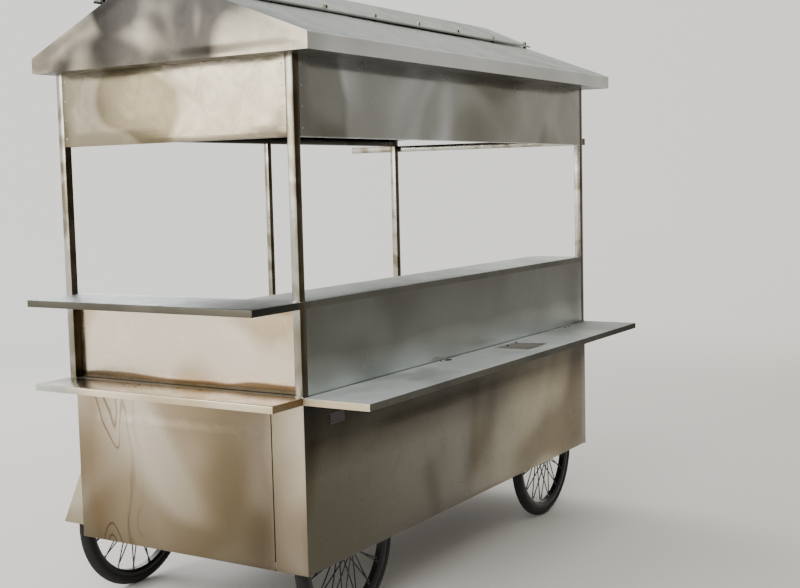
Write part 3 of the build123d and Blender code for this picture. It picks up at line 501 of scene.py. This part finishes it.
# Tops wiped many times over, with streaks along the cart. Their colour is painted reflection: cool,
# darker towards the head end; the folded lips carry the ground's painted reflection, darker on the
# service side and warm at the head end.
top_steel = rolled_steel(
    "stainless_wiped_top", "X",
    [(-1.34, "#5F6567"), (-1.10, "#757B7C"), (-1.0, "#CBD1D1"), (1.3, "#C3C9C9")], EVEN,
    (2.5, "#DFE1E1", 0.42, 0.68), roughness=(0.34, 0.5), wave_depth=0.006, streak=(3.0, 120.0, 3.0),
    painted_facing_shade=("#86837B", "#F5DFC2"))
# The service shelf, scoured dull: painted reflection, pale and cool, darker towards the tail end; its lips
# darker on the service side and warm at the head end, painted light and shade.
service_top_steel = rolled_steel(
    "stainless_scoured_service_top", "X",
    [(-1.1, "#F0F6F7"), (0.7, "#ECF1F1"), (1.0, "#B4B8B4"), (1.3, "#A3A7A2")], EVEN,
    (2.5, "#E2E4E4", 0.42, 0.68), roughness=(0.55, 0.72), wave_depth=0.006, streak=(3.0, 120.0, 3.0),
    painted_facing_shade=("#6F6C64", "#E2CBAA"))
# The head shelf: painted reflection, warm, cooler towards the operator side; its lips darker on the service
# side, and painted shade on the faces turned up.
end_top_steel = rolled_steel(
    "stainless_mirrored_end_shelf", "Y",
    [(-0.55, "#E2D4BC"), (-0.2, "#E8DAC2"), (0.1, "#F2E6D0"), (0.30, "#F2E8D6"), (0.42, "#B9BCB8"),
     (0.55, "#C9CDCB")], EVEN, (1.8, "#D6CBBC", 0.42, 0.66), roughness=(0.22, 0.36), wave_depth=0.006,
    streak=(120.0, 3.0, 3.0), painted_facing_shade=("#9A9484", "#FFFCF4"), sway=0.03, top="#8F8471")
# Square tube keeps its mill polish; painted reflection gives it bright and dark bands along its
# faces, and painted shade darkens the faces turned to the service side.
tube_steel = rolled_steel(
    "stainless_mill_tube", "Z", [(0.8, "#A8A398"), (1.4, "#C0BBB0"), (2.1, "#AFAA9F")], EVEN,
    (6.0, "#BDB6A6", 0.42, 0.62), roughness=(0.12, 0.26), wave_depth=0.004, streak=(90.0, 90.0, 4.0),
    painted_facing_shade=("#83796A", "#FFFFFF"))
# Rails behind the fascias and all inner faces see no polish; their dark colour is painted shade.
shaded_steel = rolled_steel(
    "stainless_shaded_inside", "Z", [(0.3, "#5B5853"), (1.2, "#6B6862"), (2.3, "#4A4846")], EVEN,
    (3.0, "#B8B4AB", 0.42, 0.64), roughness=(0.3, 0.5), wave_depth=0.006)


def coated(name, stops, metallic, roughness, scale, depth):
    """A material whose colour, dullness and fine bumps all follow one noise of a given scale."""
    material, tree, shader = blank_material(name)
    place = add_node(tree, "ShaderNodeTexCoord")
    noise = add_node(tree, "ShaderNodeTexNoise", Vector=(place, "Object"), Scale=scale, Detail=6.0,
                     Roughness=0.65)
    tree.links.new(ramp(tree, (noise, "Fac"), stops).outputs["Color"], shader.inputs["Base Color"])
    dulled = add_node(tree, "ShaderNodeMapRange", Value=(noise, "Fac"), From_Min=0.3, From_Max=0.7,
                      To_Min=roughness[0], To_Max=roughness[1])
    tree.links.new(dulled.outputs["Result"], shader.inputs["Roughness"])
    bumps = add_node(tree, "ShaderNodeBump", Height=(noise, "Fac"), Strength=0.6, Distance=depth)
    tree.links.new(bumps.outputs["Normal"], shader.inputs["Normal"])
    shader.inputs["Metallic"].default_value = metallic
    return material


# Filled rubber goes grey-brown where road dust settles.
tyre_rubber = coated("dusty_tyre_rubber", [(0.35, "#101010"), (0.6, "#1B1A19"), (0.8, "#37332D")],
                     0.0, (0.62, 0.9), 38.0, 0.0008)
# Enamel on rim, spokes and hub: black, half gloss, lightly dusty.
wheel_enamel = coated("black_wheel_enamel", [(0.35, "#0C0C0D"), (0.65, "#17171A"), (0.85, "#3A3733")],
                      0.0, (0.28, 0.55), 26.0, 0.0003)
chassis_paint = coated("dull_chassis_paint", [(0.35, "#121212"), (0.65, "#1F1E1D"), (0.85, "#3B352E")],
                       0.0, (0.5, 0.8), 20.0, 0.0005)
# Zinc plating clouds over in patches a few millimetres wide.
zinc_plate = coated("clouded_zinc_plate", [(0.3, "#8E9194"), (0.55, "#B9BCBE"), (0.8, "#D3D4D2")],
                    1.0, (0.22, 0.48), 120.0, 0.0002)
# Nickel on spoke nipples and rivets: small, bright, a little dulled.
nickel_plate = coated("dulled_nickel_plate", [(0.3, "#9A968E"), (0.6, "#C4C0B8"), (0.8, "#D8D5CD")],
                      1.0, (0.22, 0.42), 160.0, 0.0001)
# Dark rubber for the shelf's plugs, screws included; on the drain hole its dark is painted shade.
hole_rubber = coated("dark_rubber_painted_hole_shade", [(0.4, "#0D0D0D"), (0.7, "#1C1B1A")], 0.0, (0.5, 0.75), 90.0, 0.0003)


def printed_plate(name, low_z, high_z):
    """Thin aluminium plate under a dark printed coat, left blank but for two pale rules."""
    material, tree, shader = blank_material(name)
    place = add_node(tree, "ShaderNodeTexCoord")
    axes = add_node(tree, "ShaderNodeSeparateXYZ", Vector=(place, "Object"))
    level = add_node(tree, "ShaderNodeMapRange", Value=(axes, "Z"), From_Min=low_z, From_Max=high_z)
    stops = [(0.0, "#5A5552"), (0.04, "#1B1617"), (0.36, "#4A3B3B"), (0.40, "#1B1617"),
             (0.62, "#4A3B3B"), (0.66, "#1B1617"), (0.96, "#5A5552")]
    printed = ramp(tree, (level, "Result"), stops)
    printed.color_ramp.interpolation = "CONSTANT"
    tree.links.new(printed.outputs["Color"], shader.inputs["Base Color"])
    worn = add_node(tree, "ShaderNodeTexNoise", Vector=(place, "Object"), Scale=60.0, Detail=4.0)
    dulled = add_node(tree, "ShaderNodeMapRange", Value=(worn, "Fac"), To_Min=0.3, To_Max=0.6)
    tree.links.new(dulled.outputs["Result"], shader.inputs["Roughness"])
    return material


# ---------------------------------------------------------------- panels
FACES = {"service": (0.0, -1.0, 0.0), "operator": (0.0, 1.0, 0.0), "head": (-1.0, 0.0, 0.0),
         "tail": (1.0, 0.0, 0.0)}

hung_panels = {
    # node: (side, finish, seed, depth of waves, calm margins, hem, creases)
    "service_panel": ("service", service_steel, 3, 0.0065, (0, 0, 0, 0.14), HEM, ()),
    "head_corner_panel": ("head", end_panel_steel, 5, 0.003, (0, 0, 0, 0.11), HEM, ()),
    "head_panel": ("head", end_panel_steel, 8, 0.0075, (0, 0, 0, 0.11), HEM,
                   ((0.70, 0.035, 9.0, 1.1, 0.010, 0.30), (0.84, 0.03, 8.0, 0.4, 0.014, 0.35))),
    "tail_panel": ("tail", body_steel, 13, 0.007, (0, 0, 0, 0), HEM, ()),
    "service_upper_panel": ("service", service_upper_steel, 21, 0.0025, (0, 0, 0, 0), 0, ()),
    "head_upper_panel": ("head", end_upper_steel, 34, 0.004, (0, 0, 0, 0), 0, ()),
}
PANEL_JOINT = 0.0022          # each end panel stops this far short of the joint between them
for node, (side, finish, seed, depth, margins, hem, creases) in hung_panels.items():
    low, high = [list(corner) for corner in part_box(node)]
    if node == "head_panel":
        low[1] += PANEL_JOINT
    if node == "head_corner_panel":
        high[1] -= PANEL_JOINT
    make_piece(f"{node}_waved", [hung_panel(low, high, FACES[side], seed, depth, margins, hem, creases)],
               finish, "cart", [node])

middle = (np.array(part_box("deck_sheet")[0]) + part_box("deck_sheet")[1]) / 2
fascia_finish = {"service": service_fascia_steel, "head": end_fascia_steel,
                 "operator": inner_shade_fascia_steel, "tail": inner_shade_fascia_steel}
replaced = ["fascias"]


def outward(low, high):
    """(long axis, direction away from the cart's middle) of an upright sheet's box."""
    long_axis = 0 if high[0] - low[0] > high[1] - low[1] else 1
    out = np.zeros(3)
    out[1 - long_axis] = np.sign((low + high)[1 - long_axis] / 2 - middle[1 - long_axis])
    return long_axis, out


for number, (low, high) in enumerate(solids("fascias")):
    out = outward(low, high)[1]
    side = next(name for name, way in FACES.items() if np.allclose(way, out))
    make_piece(f"{side}_fascia_waved", [hung_panel(low, high, out, 60 + number, 0.0065)],
               fascia_finish[side], "cart", replaced)
    replaced = []

# ---------------------------------------------------------------- roof
eave_band = 0.056
ridge_y = sum(corner[1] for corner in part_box("ridge_beam")) / 2


def eave_and_vent(low, high):
    """Y of a roof slope's edge at the eave and of its edge at the vent, the one near the ridge."""
    return sorted((low[1], high[1]), key=lambda y: -abs(y - ridge_y))


for node, number in (("service_roof_slope", 71), ("operator_roof_slope", 73)):
    low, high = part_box(node)
    eave, vent = eave_and_vent(low, high)
    fold = (eave, low[2] + eave_band)
    make_piece(f"{node}_formed", [formed_sheet([(eave, low[2]), fold, (vent, high[2])], low[0], high[0],
                                               number, 0.004, [fold, (vent, high[2])])],
               roof_steel, "cart", [node])
gable_shells = []
for number, (low, high) in enumerate(solids("gables")):
    out_x = -1.0 if low[0] < middle[0] else 1.0
    gable_shells.append(gable_sheet(low, high, ridge_y, low[2] + eave_band, out_x, 80 + number, 0.006))
make_piece("gables_waved", gable_shells, gable_steel, "cart", ["gables"])
low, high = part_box("ridge_cap")
cap_drip = 0.008
cap_line = [(low[1], low[2]), (low[1], low[2] + cap_drip), (ridge_y, high[2]),
            (high[1], low[2] + cap_drip), (high[1], low[2])]
make_piece("ridge_cap_formed", [formed_sheet(cap_line, low[0], high[0], 90, 0.0015,
                                             [cap_line[1], cap_line[2], cap_line[3]])],
           roof_steel, "cart", ["ridge_cap"])

# ---------------------------------------------------------------- tops
shelf_low, shelf_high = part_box("service_shelf")
make_piece("service_shelf_folded", [folded_pan(box_corners(shelf_low, shelf_high), shelf_high[2])],
           service_top_steel, "service_shelf_body", ["service_shelf"])
low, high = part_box("head_shelf")
make_piece("head_shelf_folded", [folded_pan(box_corners(low, high), high[2])],
           end_top_steel, "head_shelf_body", ["head_shelf"])

COUNTER_STRIP = 0.262     # counter's width along the service side, from the body's face
service_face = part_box("service_panel")[0][1]
low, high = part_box("counter_top")
post_low, post_high = min(solids("roof_posts"), key=lambda box: box[0][0] + box[0][1])
strip_y = service_face + COUNTER_STRIP
counter_outline = [(low[0], low[1]), (post_low[0], low[1]), (post_low[0], post_high[1]),
                   (post_high[0], post_high[1]), (post_high[0], low[1]), (high[0], low[1]),
                   (high[0], strip_y), (post_high[0], strip_y), (post_high[0], high[1]),
                   (low[0], high[1])]
make_piece("counter_top_folded", [folded_pan(counter_outline, high[2])], top_steel, "cart",
           ["counter_top"])

# Along the service shelf: low dark rubber plugs, and a patch plate held by two screws. The largest
# plug sits over a drain hole, and its dark rubber stands in for the painted shade inside the hole.
# Each plug is (metres from the shelf's head end, metres from its wall side, half length, half width).
PLUGS = ((0.945, 0.024, 0.021, 0.012), (0.905, 0.014, 0.006, 0.004), (2.07, 0.03, 0.009, 0.005),
         (2.12, 0.026, 0.007, 0.005), (1.40, 0.06, 0.007, 0.005), (1.50, 0.05, 0.006, 0.004),
         (1.60, 0.05, 0.004, 0.003))


def plug(centre, reach_x, reach_y, rise):
    """A low oval button: rings shrink and rise to a rolled edge, then sink to a dished middle."""
    angle = np.linspace(0, 2 * pi, 24, endpoint=False)[None, :]
    share = np.array([1.0, 1.0, 0.92, 0.78, 0.70, 0.35])[:, None]
    level = np.array([-0.5, 0.2, 0.9, 1.0, 0.55, 0.3])[:, None] * rise
    points = np.stack([centre[0] + reach_x * share * np.cos(angle),
                       centre[1] + reach_y * share * np.sin(angle),
                       centre[2] + level + 0 * angle], axis=-1)
    count = points.shape[1]
    ends = [list(range(count)), list(range(5 * count, 6 * count))]
    return points, grid_faces(6, count, wrap_columns=True) + ends


shelf_start, shelf_wall, shelf_top = shelf_low[0], shelf_high[1], shelf_high[2]
PATCH_FROM, PATCH_LENGTH, PATCH_IN, PATCH_WIDTH, PATCH_LIFT = 1.31, 0.19, 0.04, 0.15, 0.0012
PATCH_CURL, PATCH_SLANT, PATCH_SHEET = 0.0035, 0.12, 0.001
PLUG_RISE, SCREW_LIFT, PATCH_END = 0.0016, 0.003, 1.55      # screws on the patch plate sit higher
across = np.linspace(0, PATCH_LENGTH, 24)[None, :]
inward = np.linspace(0, PATCH_WIDTH, 16)[:, None]
curl = (inward / PATCH_WIDTH) ** 2 * np.abs(np.sin(1.4 * pi * across / PATCH_LENGTH))
patch = np.stack([shelf_start + PATCH_FROM + across + PATCH_SLANT * inward,
                  shelf_wall - PATCH_IN - inward + 0 * across,
                  shelf_top + PATCH_LIFT + PATCH_CURL * curl], axis=-1)
make_piece("shelf_patch_plate", [shell(patch, UP + 0 * patch, PATCH_SHEET)], nickel_plate,
           "service_shelf_body")
plugs = []
for x, y, half_length, half_width in PLUGS:
    on_patch = PATCH_FROM < x < PATCH_END
    base = (shelf_start + x, shelf_wall - y, shelf_top + (SCREW_LIFT if on_patch else 0.0))
    plugs.append(plug(base, half_length, half_width, PLUG_RISE))
make_piece("shelf_plugs", plugs, hole_rubber, "service_shelf_body")

# ---------------------------------------------------------------- square tube
tube_nodes = ("roof_posts", "deck_long_rails", "deck_cross_rails", "long_roof_rails",
              "cross_roof_rails", "hanging_rail", "ridge_beam")
for node in tube_nodes:
    finish = shaded_steel if node.endswith("roof_rails") else tube_steel
    make_piece(f"{node}_rounded", [square_tube(low, high) for low, high in solids(node)],
               finish, "cart", [node])


# ---------------------------------------------------------------- weld beads and rivets
def weld_bead(low, high, z):
    """A rippled bead round a square post: a small circle carried round the post's outline, its
    radius swelling and shrinking every 4 mm."""
    middle, half = (low[:2] + high[:2]) / 2, (high[:2] - low[:2]) / 2
    turn = np.linspace(0, 2 * pi, 97)[:-1]
    reach = (np.abs(np.cos(turn)) ** 12 + np.abs(np.sin(turn)) ** 12) ** (-1 / 12)
    path = middle + half * (reach * np.array([np.cos(turn), np.sin(turn)])).T
    size = 0.0019 + 0.0005 * np.sin(32 * turn)
    round_it = np.linspace(0, 2 * pi, 7)[:-1][None, :]
    points = np.zeros((len(turn), 6, 3))
    away = np.stack([np.cos(turn), np.sin(turn)], axis=1)
    swell = (size[:, None] * np.cos(round_it))[..., None]
    points[..., :2] = path[:, None, :] + away[:, None, :] * swell
    points[..., 2] = z + size[:, None] * np.sin(round_it)
    return points, grid_faces(len(turn), 6, True, True)


deck_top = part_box("deck_sheet")[1][2]
counter_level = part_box("counter_top")[1][2]
beads = [weld_bead(low, high, deck_top) for low, high in solids("roof_posts")]
beads.append(weld_bead(post_low, post_high, counter_level))
make_piece("post_weld_beads", beads, tube_steel, "cart")

RIVET_RADIUS, RIVET_RISE = 0.0042, 0.0014
FASCIA_RIVET_IN, FASCIA_RIVET_UP = 0.014, 0.03       # from a fascia's ends and from its edges
SLOPE_RIVET_IN, CAP_RIVET_IN, CAP_RIVET_UP = 0.02, 0.031, 0.018


def rivets(centres, out):
    """Domed rivet heads: three rings round each centre, shrinking as they rise to a flat top."""
    out = np.asarray(out, float)
    side = np.array([0.0, 0.0, 1.0]) if abs(out[2]) < 0.9 else np.array([1.0, 0.0, 0.0])
    side = side - out * (side @ out)
    side = side / np.linalg.norm(side)
    other = np.cross(out, side)
    angle = np.linspace(0, 2 * pi, 10, endpoint=False)[None, :, None]
    reach = RIVET_RADIUS * np.array([1.0, 0.8, 0.4])[:, None, None]
    rise = RIVET_RISE * np.array([-0.3, 0.65, 1.0])[:, None, None]
    head = reach * (np.cos(angle) * side + np.sin(angle) * other) + rise * out
    faces = grid_faces(3, 10, wrap_columns=True) + [list(range(10)), list(range(20, 30))]
    return [(head + np.asarray(centre), faces) for centre in centres]


heads = []
for low, high in solids("fascias"):
    long_axis, out = outward(low, high)
    for end in (low[long_axis] + FASCIA_RIVET_IN, high[long_axis] - FASCIA_RIVET_IN):
        for z in np.linspace(low[2] + FASCIA_RIVET_UP, high[2] - FASCIA_RIVET_UP, 4):
            centre = np.where(out > 0, high, low)
            centre[long_axis], centre[2] = end, z
            heads += rivets([centre], out)
for node in ("service_roof_slope", "operator_roof_slope"):
    low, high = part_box(node)
    eave, vent = eave_and_vent(low, high)
    fall = (high[2] - low[2] - eave_band) / (vent - eave)
    tilt = np.array([0.0, -fall, 1.0]) / np.hypot(fall, 1.0)
    for share in np.linspace(0.08, 0.62, 5):
        y = eave + share * (vent - eave)
        z = low[2] + eave_band + fall * (y - eave)
        heads += rivets([(x, y, z) for x in (low[0] + SLOPE_RIVET_IN, high[0] - SLOPE_RIVET_IN)], tilt)
low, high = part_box("ridge_cap")
for eave, sign in ((low[1], -1), (high[1], 1)):
    fall = (high[2] - low[2] - cap_drip) / (ridge_y - eave)
    tilt = np.array([0.0, -fall, 1.0]) / np.hypot(fall, 1.0)
    y = eave - sign * CAP_RIVET_UP
    z = low[2] + cap_drip + fall * (y - eave)
    along = np.linspace(low[0] + CAP_RIVET_IN, high[0] - CAP_RIVET_IN, 8)
    heads += rivets([(x, y, z) for x in along], tilt)
make_piece("rivet_heads", heads, nickel_plate, "cart")

# ---------------------------------------------------------------- tyres
TREAD_TURNS = 540


def tyre(node):
    """A tyre about its own axle.

    Round its section the outline goes up one side wall, over a half-circle crown and down the other
    side to the bead. Across the crown, two zigzag grooves run round the wheel, and side cuts lean
    away from them; each groove is a smooth dip in radius, at most 3 mm deep.
    """
    low, high = map(np.array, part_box(node))
    centre, radius, half = (low + high) / 2, (high[0] - low[0]) / 2, (high[1] - low[1]) / 2
    crown = np.linspace(-1.0, 1.0, 33) * pi / 2
    side = half * np.sin(crown)
    height = radius - half + half * np.cos(crown)
    wall_y = np.array([half * 0.985, half * 0.93, half * 0.86, half * 0.76, half * 0.74])
    wall_r = radius - half - np.array([0.004, 0.008, 0.011, 0.013, 0.021])
    side = np.concatenate([side, wall_y, -wall_y[::-1]])
    height = np.concatenate([height, wall_r, wall_r[::-1]])
    angle = np.linspace(0, 2 * pi, TREAD_TURNS, endpoint=False)[:, None]
    zigzag = np.abs((angle * 45 / pi) % 2 - 1) - 0.5
    on_crown = height > radius - half * 0.62
    cut = np.zeros((TREAD_TURNS, len(side)))
    for middle_line in (-0.0065, 0.0065):
        cut = cut + np.exp(-((side - middle_line - 0.004 * zigzag) / 0.0013) ** 2)
    lean = (angle * 45 / pi + np.abs(side) * 60) % 1
    cut = cut + (np.abs(side) > 0.011) * np.exp(-((lean - 0.5) / 0.14) ** 2)
    reach = height - 0.003 * np.clip(cut, 0, 1) * on_crown
    points = np.stack([centre[0] + reach * np.cos(angle), centre[1] + side + 0 * angle,
                       centre[2] + reach * np.sin(angle)], axis=-1)
    return points, grid_faces(TREAD_TURNS, len(side), True, True)


SPOKES, SPOKE_LEAN, NIPPLE_SPREAD = 32, radians(4.1), 0.004
NIPPLE_FROM, NIPPLE_TO = 0.223, 0.2365


def nipples(node):
    """Spoke nipples: six-sided sleeves that stand in from the rim, alternately to either side."""
    low, high = map(np.array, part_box(node))
    centre = (low + high) / 2
    shapes = []
    for number in range(SPOKES):
        side = 1 if number % 2 == 0 else -1
        angle = 2 * pi / SPOKES * number + SPOKE_LEAN * side
        out = np.array([sin(angle), 0.0, cos(angle)])
        along = np.array([cos(angle), 0.0, -sin(angle)])
        turn = np.linspace(0, 2 * pi, 6, endpoint=False)[None, :, None]
        reach = np.array([0.0026, 0.0036, 0.0036])[:, None, None]
        place = np.array([NIPPLE_FROM, NIPPLE_FROM + 0.004, NIPPLE_TO])[:, None, None]
        ring = reach * (np.cos(turn) * along + np.sin(turn) * np.array([0.0, 1.0, 0.0])) + place * out
        points = centre + np.array([0.0, side * NIPPLE_SPREAD, 0.0]) + ring
        faces = grid_faces(3, 6, wrap_columns=True) + [list(range(6)), list(range(12, 18))]
        shapes.append((points, faces))
    return shapes


for end in ("head", "tail"):
    for side in ("service", "operator"):
        wheel = f"{end}_{side}"
        make_piece(f"{wheel}_spoke_nipples", nipples(f"{wheel}_wheel"), nickel_plate,
                   f"{wheel}_wheel_set")
        make_piece(f"{wheel}_tyre_treaded", [tyre(f"{wheel}_tyre")], tyre_rubber,
                   f"{wheel}_wheel_set", [f"{wheel}_tyre"])

# ---------------------------------------------------------------- finishes on the other CAD nodes
finishes = {"stainless_sheet": body_steel, "roof_sheet": roof_steel, "stainless_tube": tube_steel,
            "zinc_plated_fittings": zinc_plate, "dark_painted_steel": chassis_paint,
            "black_painted_wheel": wheel_enamel, "tyre_rubber": tyre_rubber,
            "plate": printed_plate("printed_blank_plate", *(c[2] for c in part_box("blank_plate")))}
own_finish = {"deck_sheet": top_steel, "wheel_guards": guard_steel, "soffit": shaded_steel,
              "floor_pan": shaded_steel, "wheel_boxes": shaded_steel, "rafters": shaded_steel,
              "deck_trestles": shaded_steel, "counter_top": top_steel}
for part in frame["record"]["subparts"]:
    node = frame["nodes"][part["node"]]
    finish = own_finish.get(part["node"], finishes[part["material_slot"]])
    node.data.materials.clear()
    node.data.materials.append(finish)

# ---------------------------------------------------------------- floor, light, camera
FLOOR_SIZE, FLOOR_FADES, FLOOR_GONE, STUDIO_STRENGTH = 60.0, 3.0, 9.0, 1.5


def studio_walls(tree, direction):
    """The walls' tint by the Y part of a direction: bright all round but for the service side,
    which the cart's long side mirrors."""
    side_wall = add_node(tree, "ShaderNodeMapRange", Value=(direction, "Y"), From_Min=-1.0, From_Max=1.0)
    return ramp(tree, (side_wall, "Result"),
                [(0.0, "#77736B"), (0.25, "#8F8B83"), (0.48, "#E3DFD6"), (1.0, "#F0F0EE")])


corners = np.array([(-1, -1, 0), (1, -1, 0), (1, 1, 0), (-1, 1, 0)]) * FLOOR_SIZE / 2
floor_mesh = bpy.data.meshes.new("floor")
floor_mesh.from_pydata(corners.tolist(), [], [[0, 1, 2, 3]])
floor_paint, tree, shader = blank_material("pale_floor")
shader.inputs["Base Color"].default_value = tone("#EAE7E2")
shader.inputs["Roughness"].default_value = 0.7
# Far off, the floor turns into the studio wall's own light, so no horizon shows.
spot = add_node(tree, "ShaderNodeTexCoord")
away = add_node(tree, "ShaderNodeVectorMath", {"operation": "LENGTH"}, _0=(spot, "Object"))
fade = add_node(tree, "ShaderNodeMapRange", {"interpolation_type": "SMOOTHSTEP"}, Value=(away, "Value"),
                From_Min=FLOOR_FADES, From_Max=FLOOR_GONE)
heading = add_node(tree, "ShaderNodeVectorMath", {"operation": "NORMALIZE"}, _0=(spot, "Object"))
parts = add_node(tree, "ShaderNodeSeparateXYZ", Vector=(heading, "Vector"))
glow = add_node(tree, "ShaderNodeEmission", Color=(studio_walls(tree, parts), "Color"),
                Strength=STUDIO_STRENGTH)
blend = add_node(tree, "ShaderNodeMixShader", _0=(fade, "Result"), _1=(shader, "BSDF"),
                 _2=(glow, "Emission"))
tree.links.new(blend.outputs["Shader"], tree.nodes["Material Output"].inputs["Surface"])
floor_mesh.materials.append(floor_paint)
floor = bpy.data.objects.new("floor", floor_mesh)
bpy.context.scene.collection.objects.link(floor)

world = bpy.data.worlds.new("studio")
bpy.context.scene.world = world
world.use_nodes = True
tree = world.node_tree
ray = add_node(tree, "ShaderNodeTexCoord")
parts = add_node(tree, "ShaderNodeSeparateXYZ", Vector=(ray, "Generated"))
walls = studio_walls(tree, parts)
ceiling = ramp(tree, (parts, "Z"),
               [(0.0, "#FFFFFF"), (0.35, "#FFFFFF"), (0.75, "#E9EEF0"), (1.0, "#E9EEF0")])
lit = add_node(tree, "ShaderNodeMix", {"data_type": "RGBA", "blend_type": "MULTIPLY"}, _0=1.0,
               _6=(walls, "Color"), _7=(ceiling, "Color"))
tree.links.new(lit.outputs[2], tree.nodes["Background"].inputs["Color"])
tree.nodes["Background"].inputs["Strength"].default_value = STUDIO_STRENGTH

SOFTBOXES = (
    # name, place, point it faces, width, height, power
    ("key_softbox", (-6.0, -2.0, 5.0), (0.0, 0.0, 1.2), 4.0, 3.0, 260.0),
    ("end_softbox", (-7.0, 4.0, 3.5), (-1.0, 0.0, 1.2), 3.0, 4.0, 190.0),
    ("back_softbox", (3.0, 6.0, 4.5), (0.0, 0.0, 1.2), 4.0, 3.0, 260.0))
for name, place, aim, width, height, power in SOFTBOXES:
    light = bpy.data.lights.new(name, "AREA")
    light.shape, light.size, light.size_y, light.energy = "RECTANGLE", width, height, power
    lamp = bpy.data.objects.new(name, light)
    lamp.location = place
    lamp.rotation_euler = (Vector(aim) - Vector(place)).to_track_quat("-Z", "Y").to_euler()
    bpy.context.scene.collection.objects.link(lamp)

camera_data = bpy.data.cameras.new("camera")
camera_data.sensor_width, camera_data.lens = 36.0, 55.066
camera_data.clip_end = 200.0
camera = bpy.data.objects.new("camera", camera_data)
camera.location = (-4.3391, -2.9641, 1.6126)
camera.rotation_euler = (radians(84.6815), radians(1.3464), radians(-58.3204))
bpy.context.scene.collection.objects.link(camera)
bpy.context.scene.camera = camera
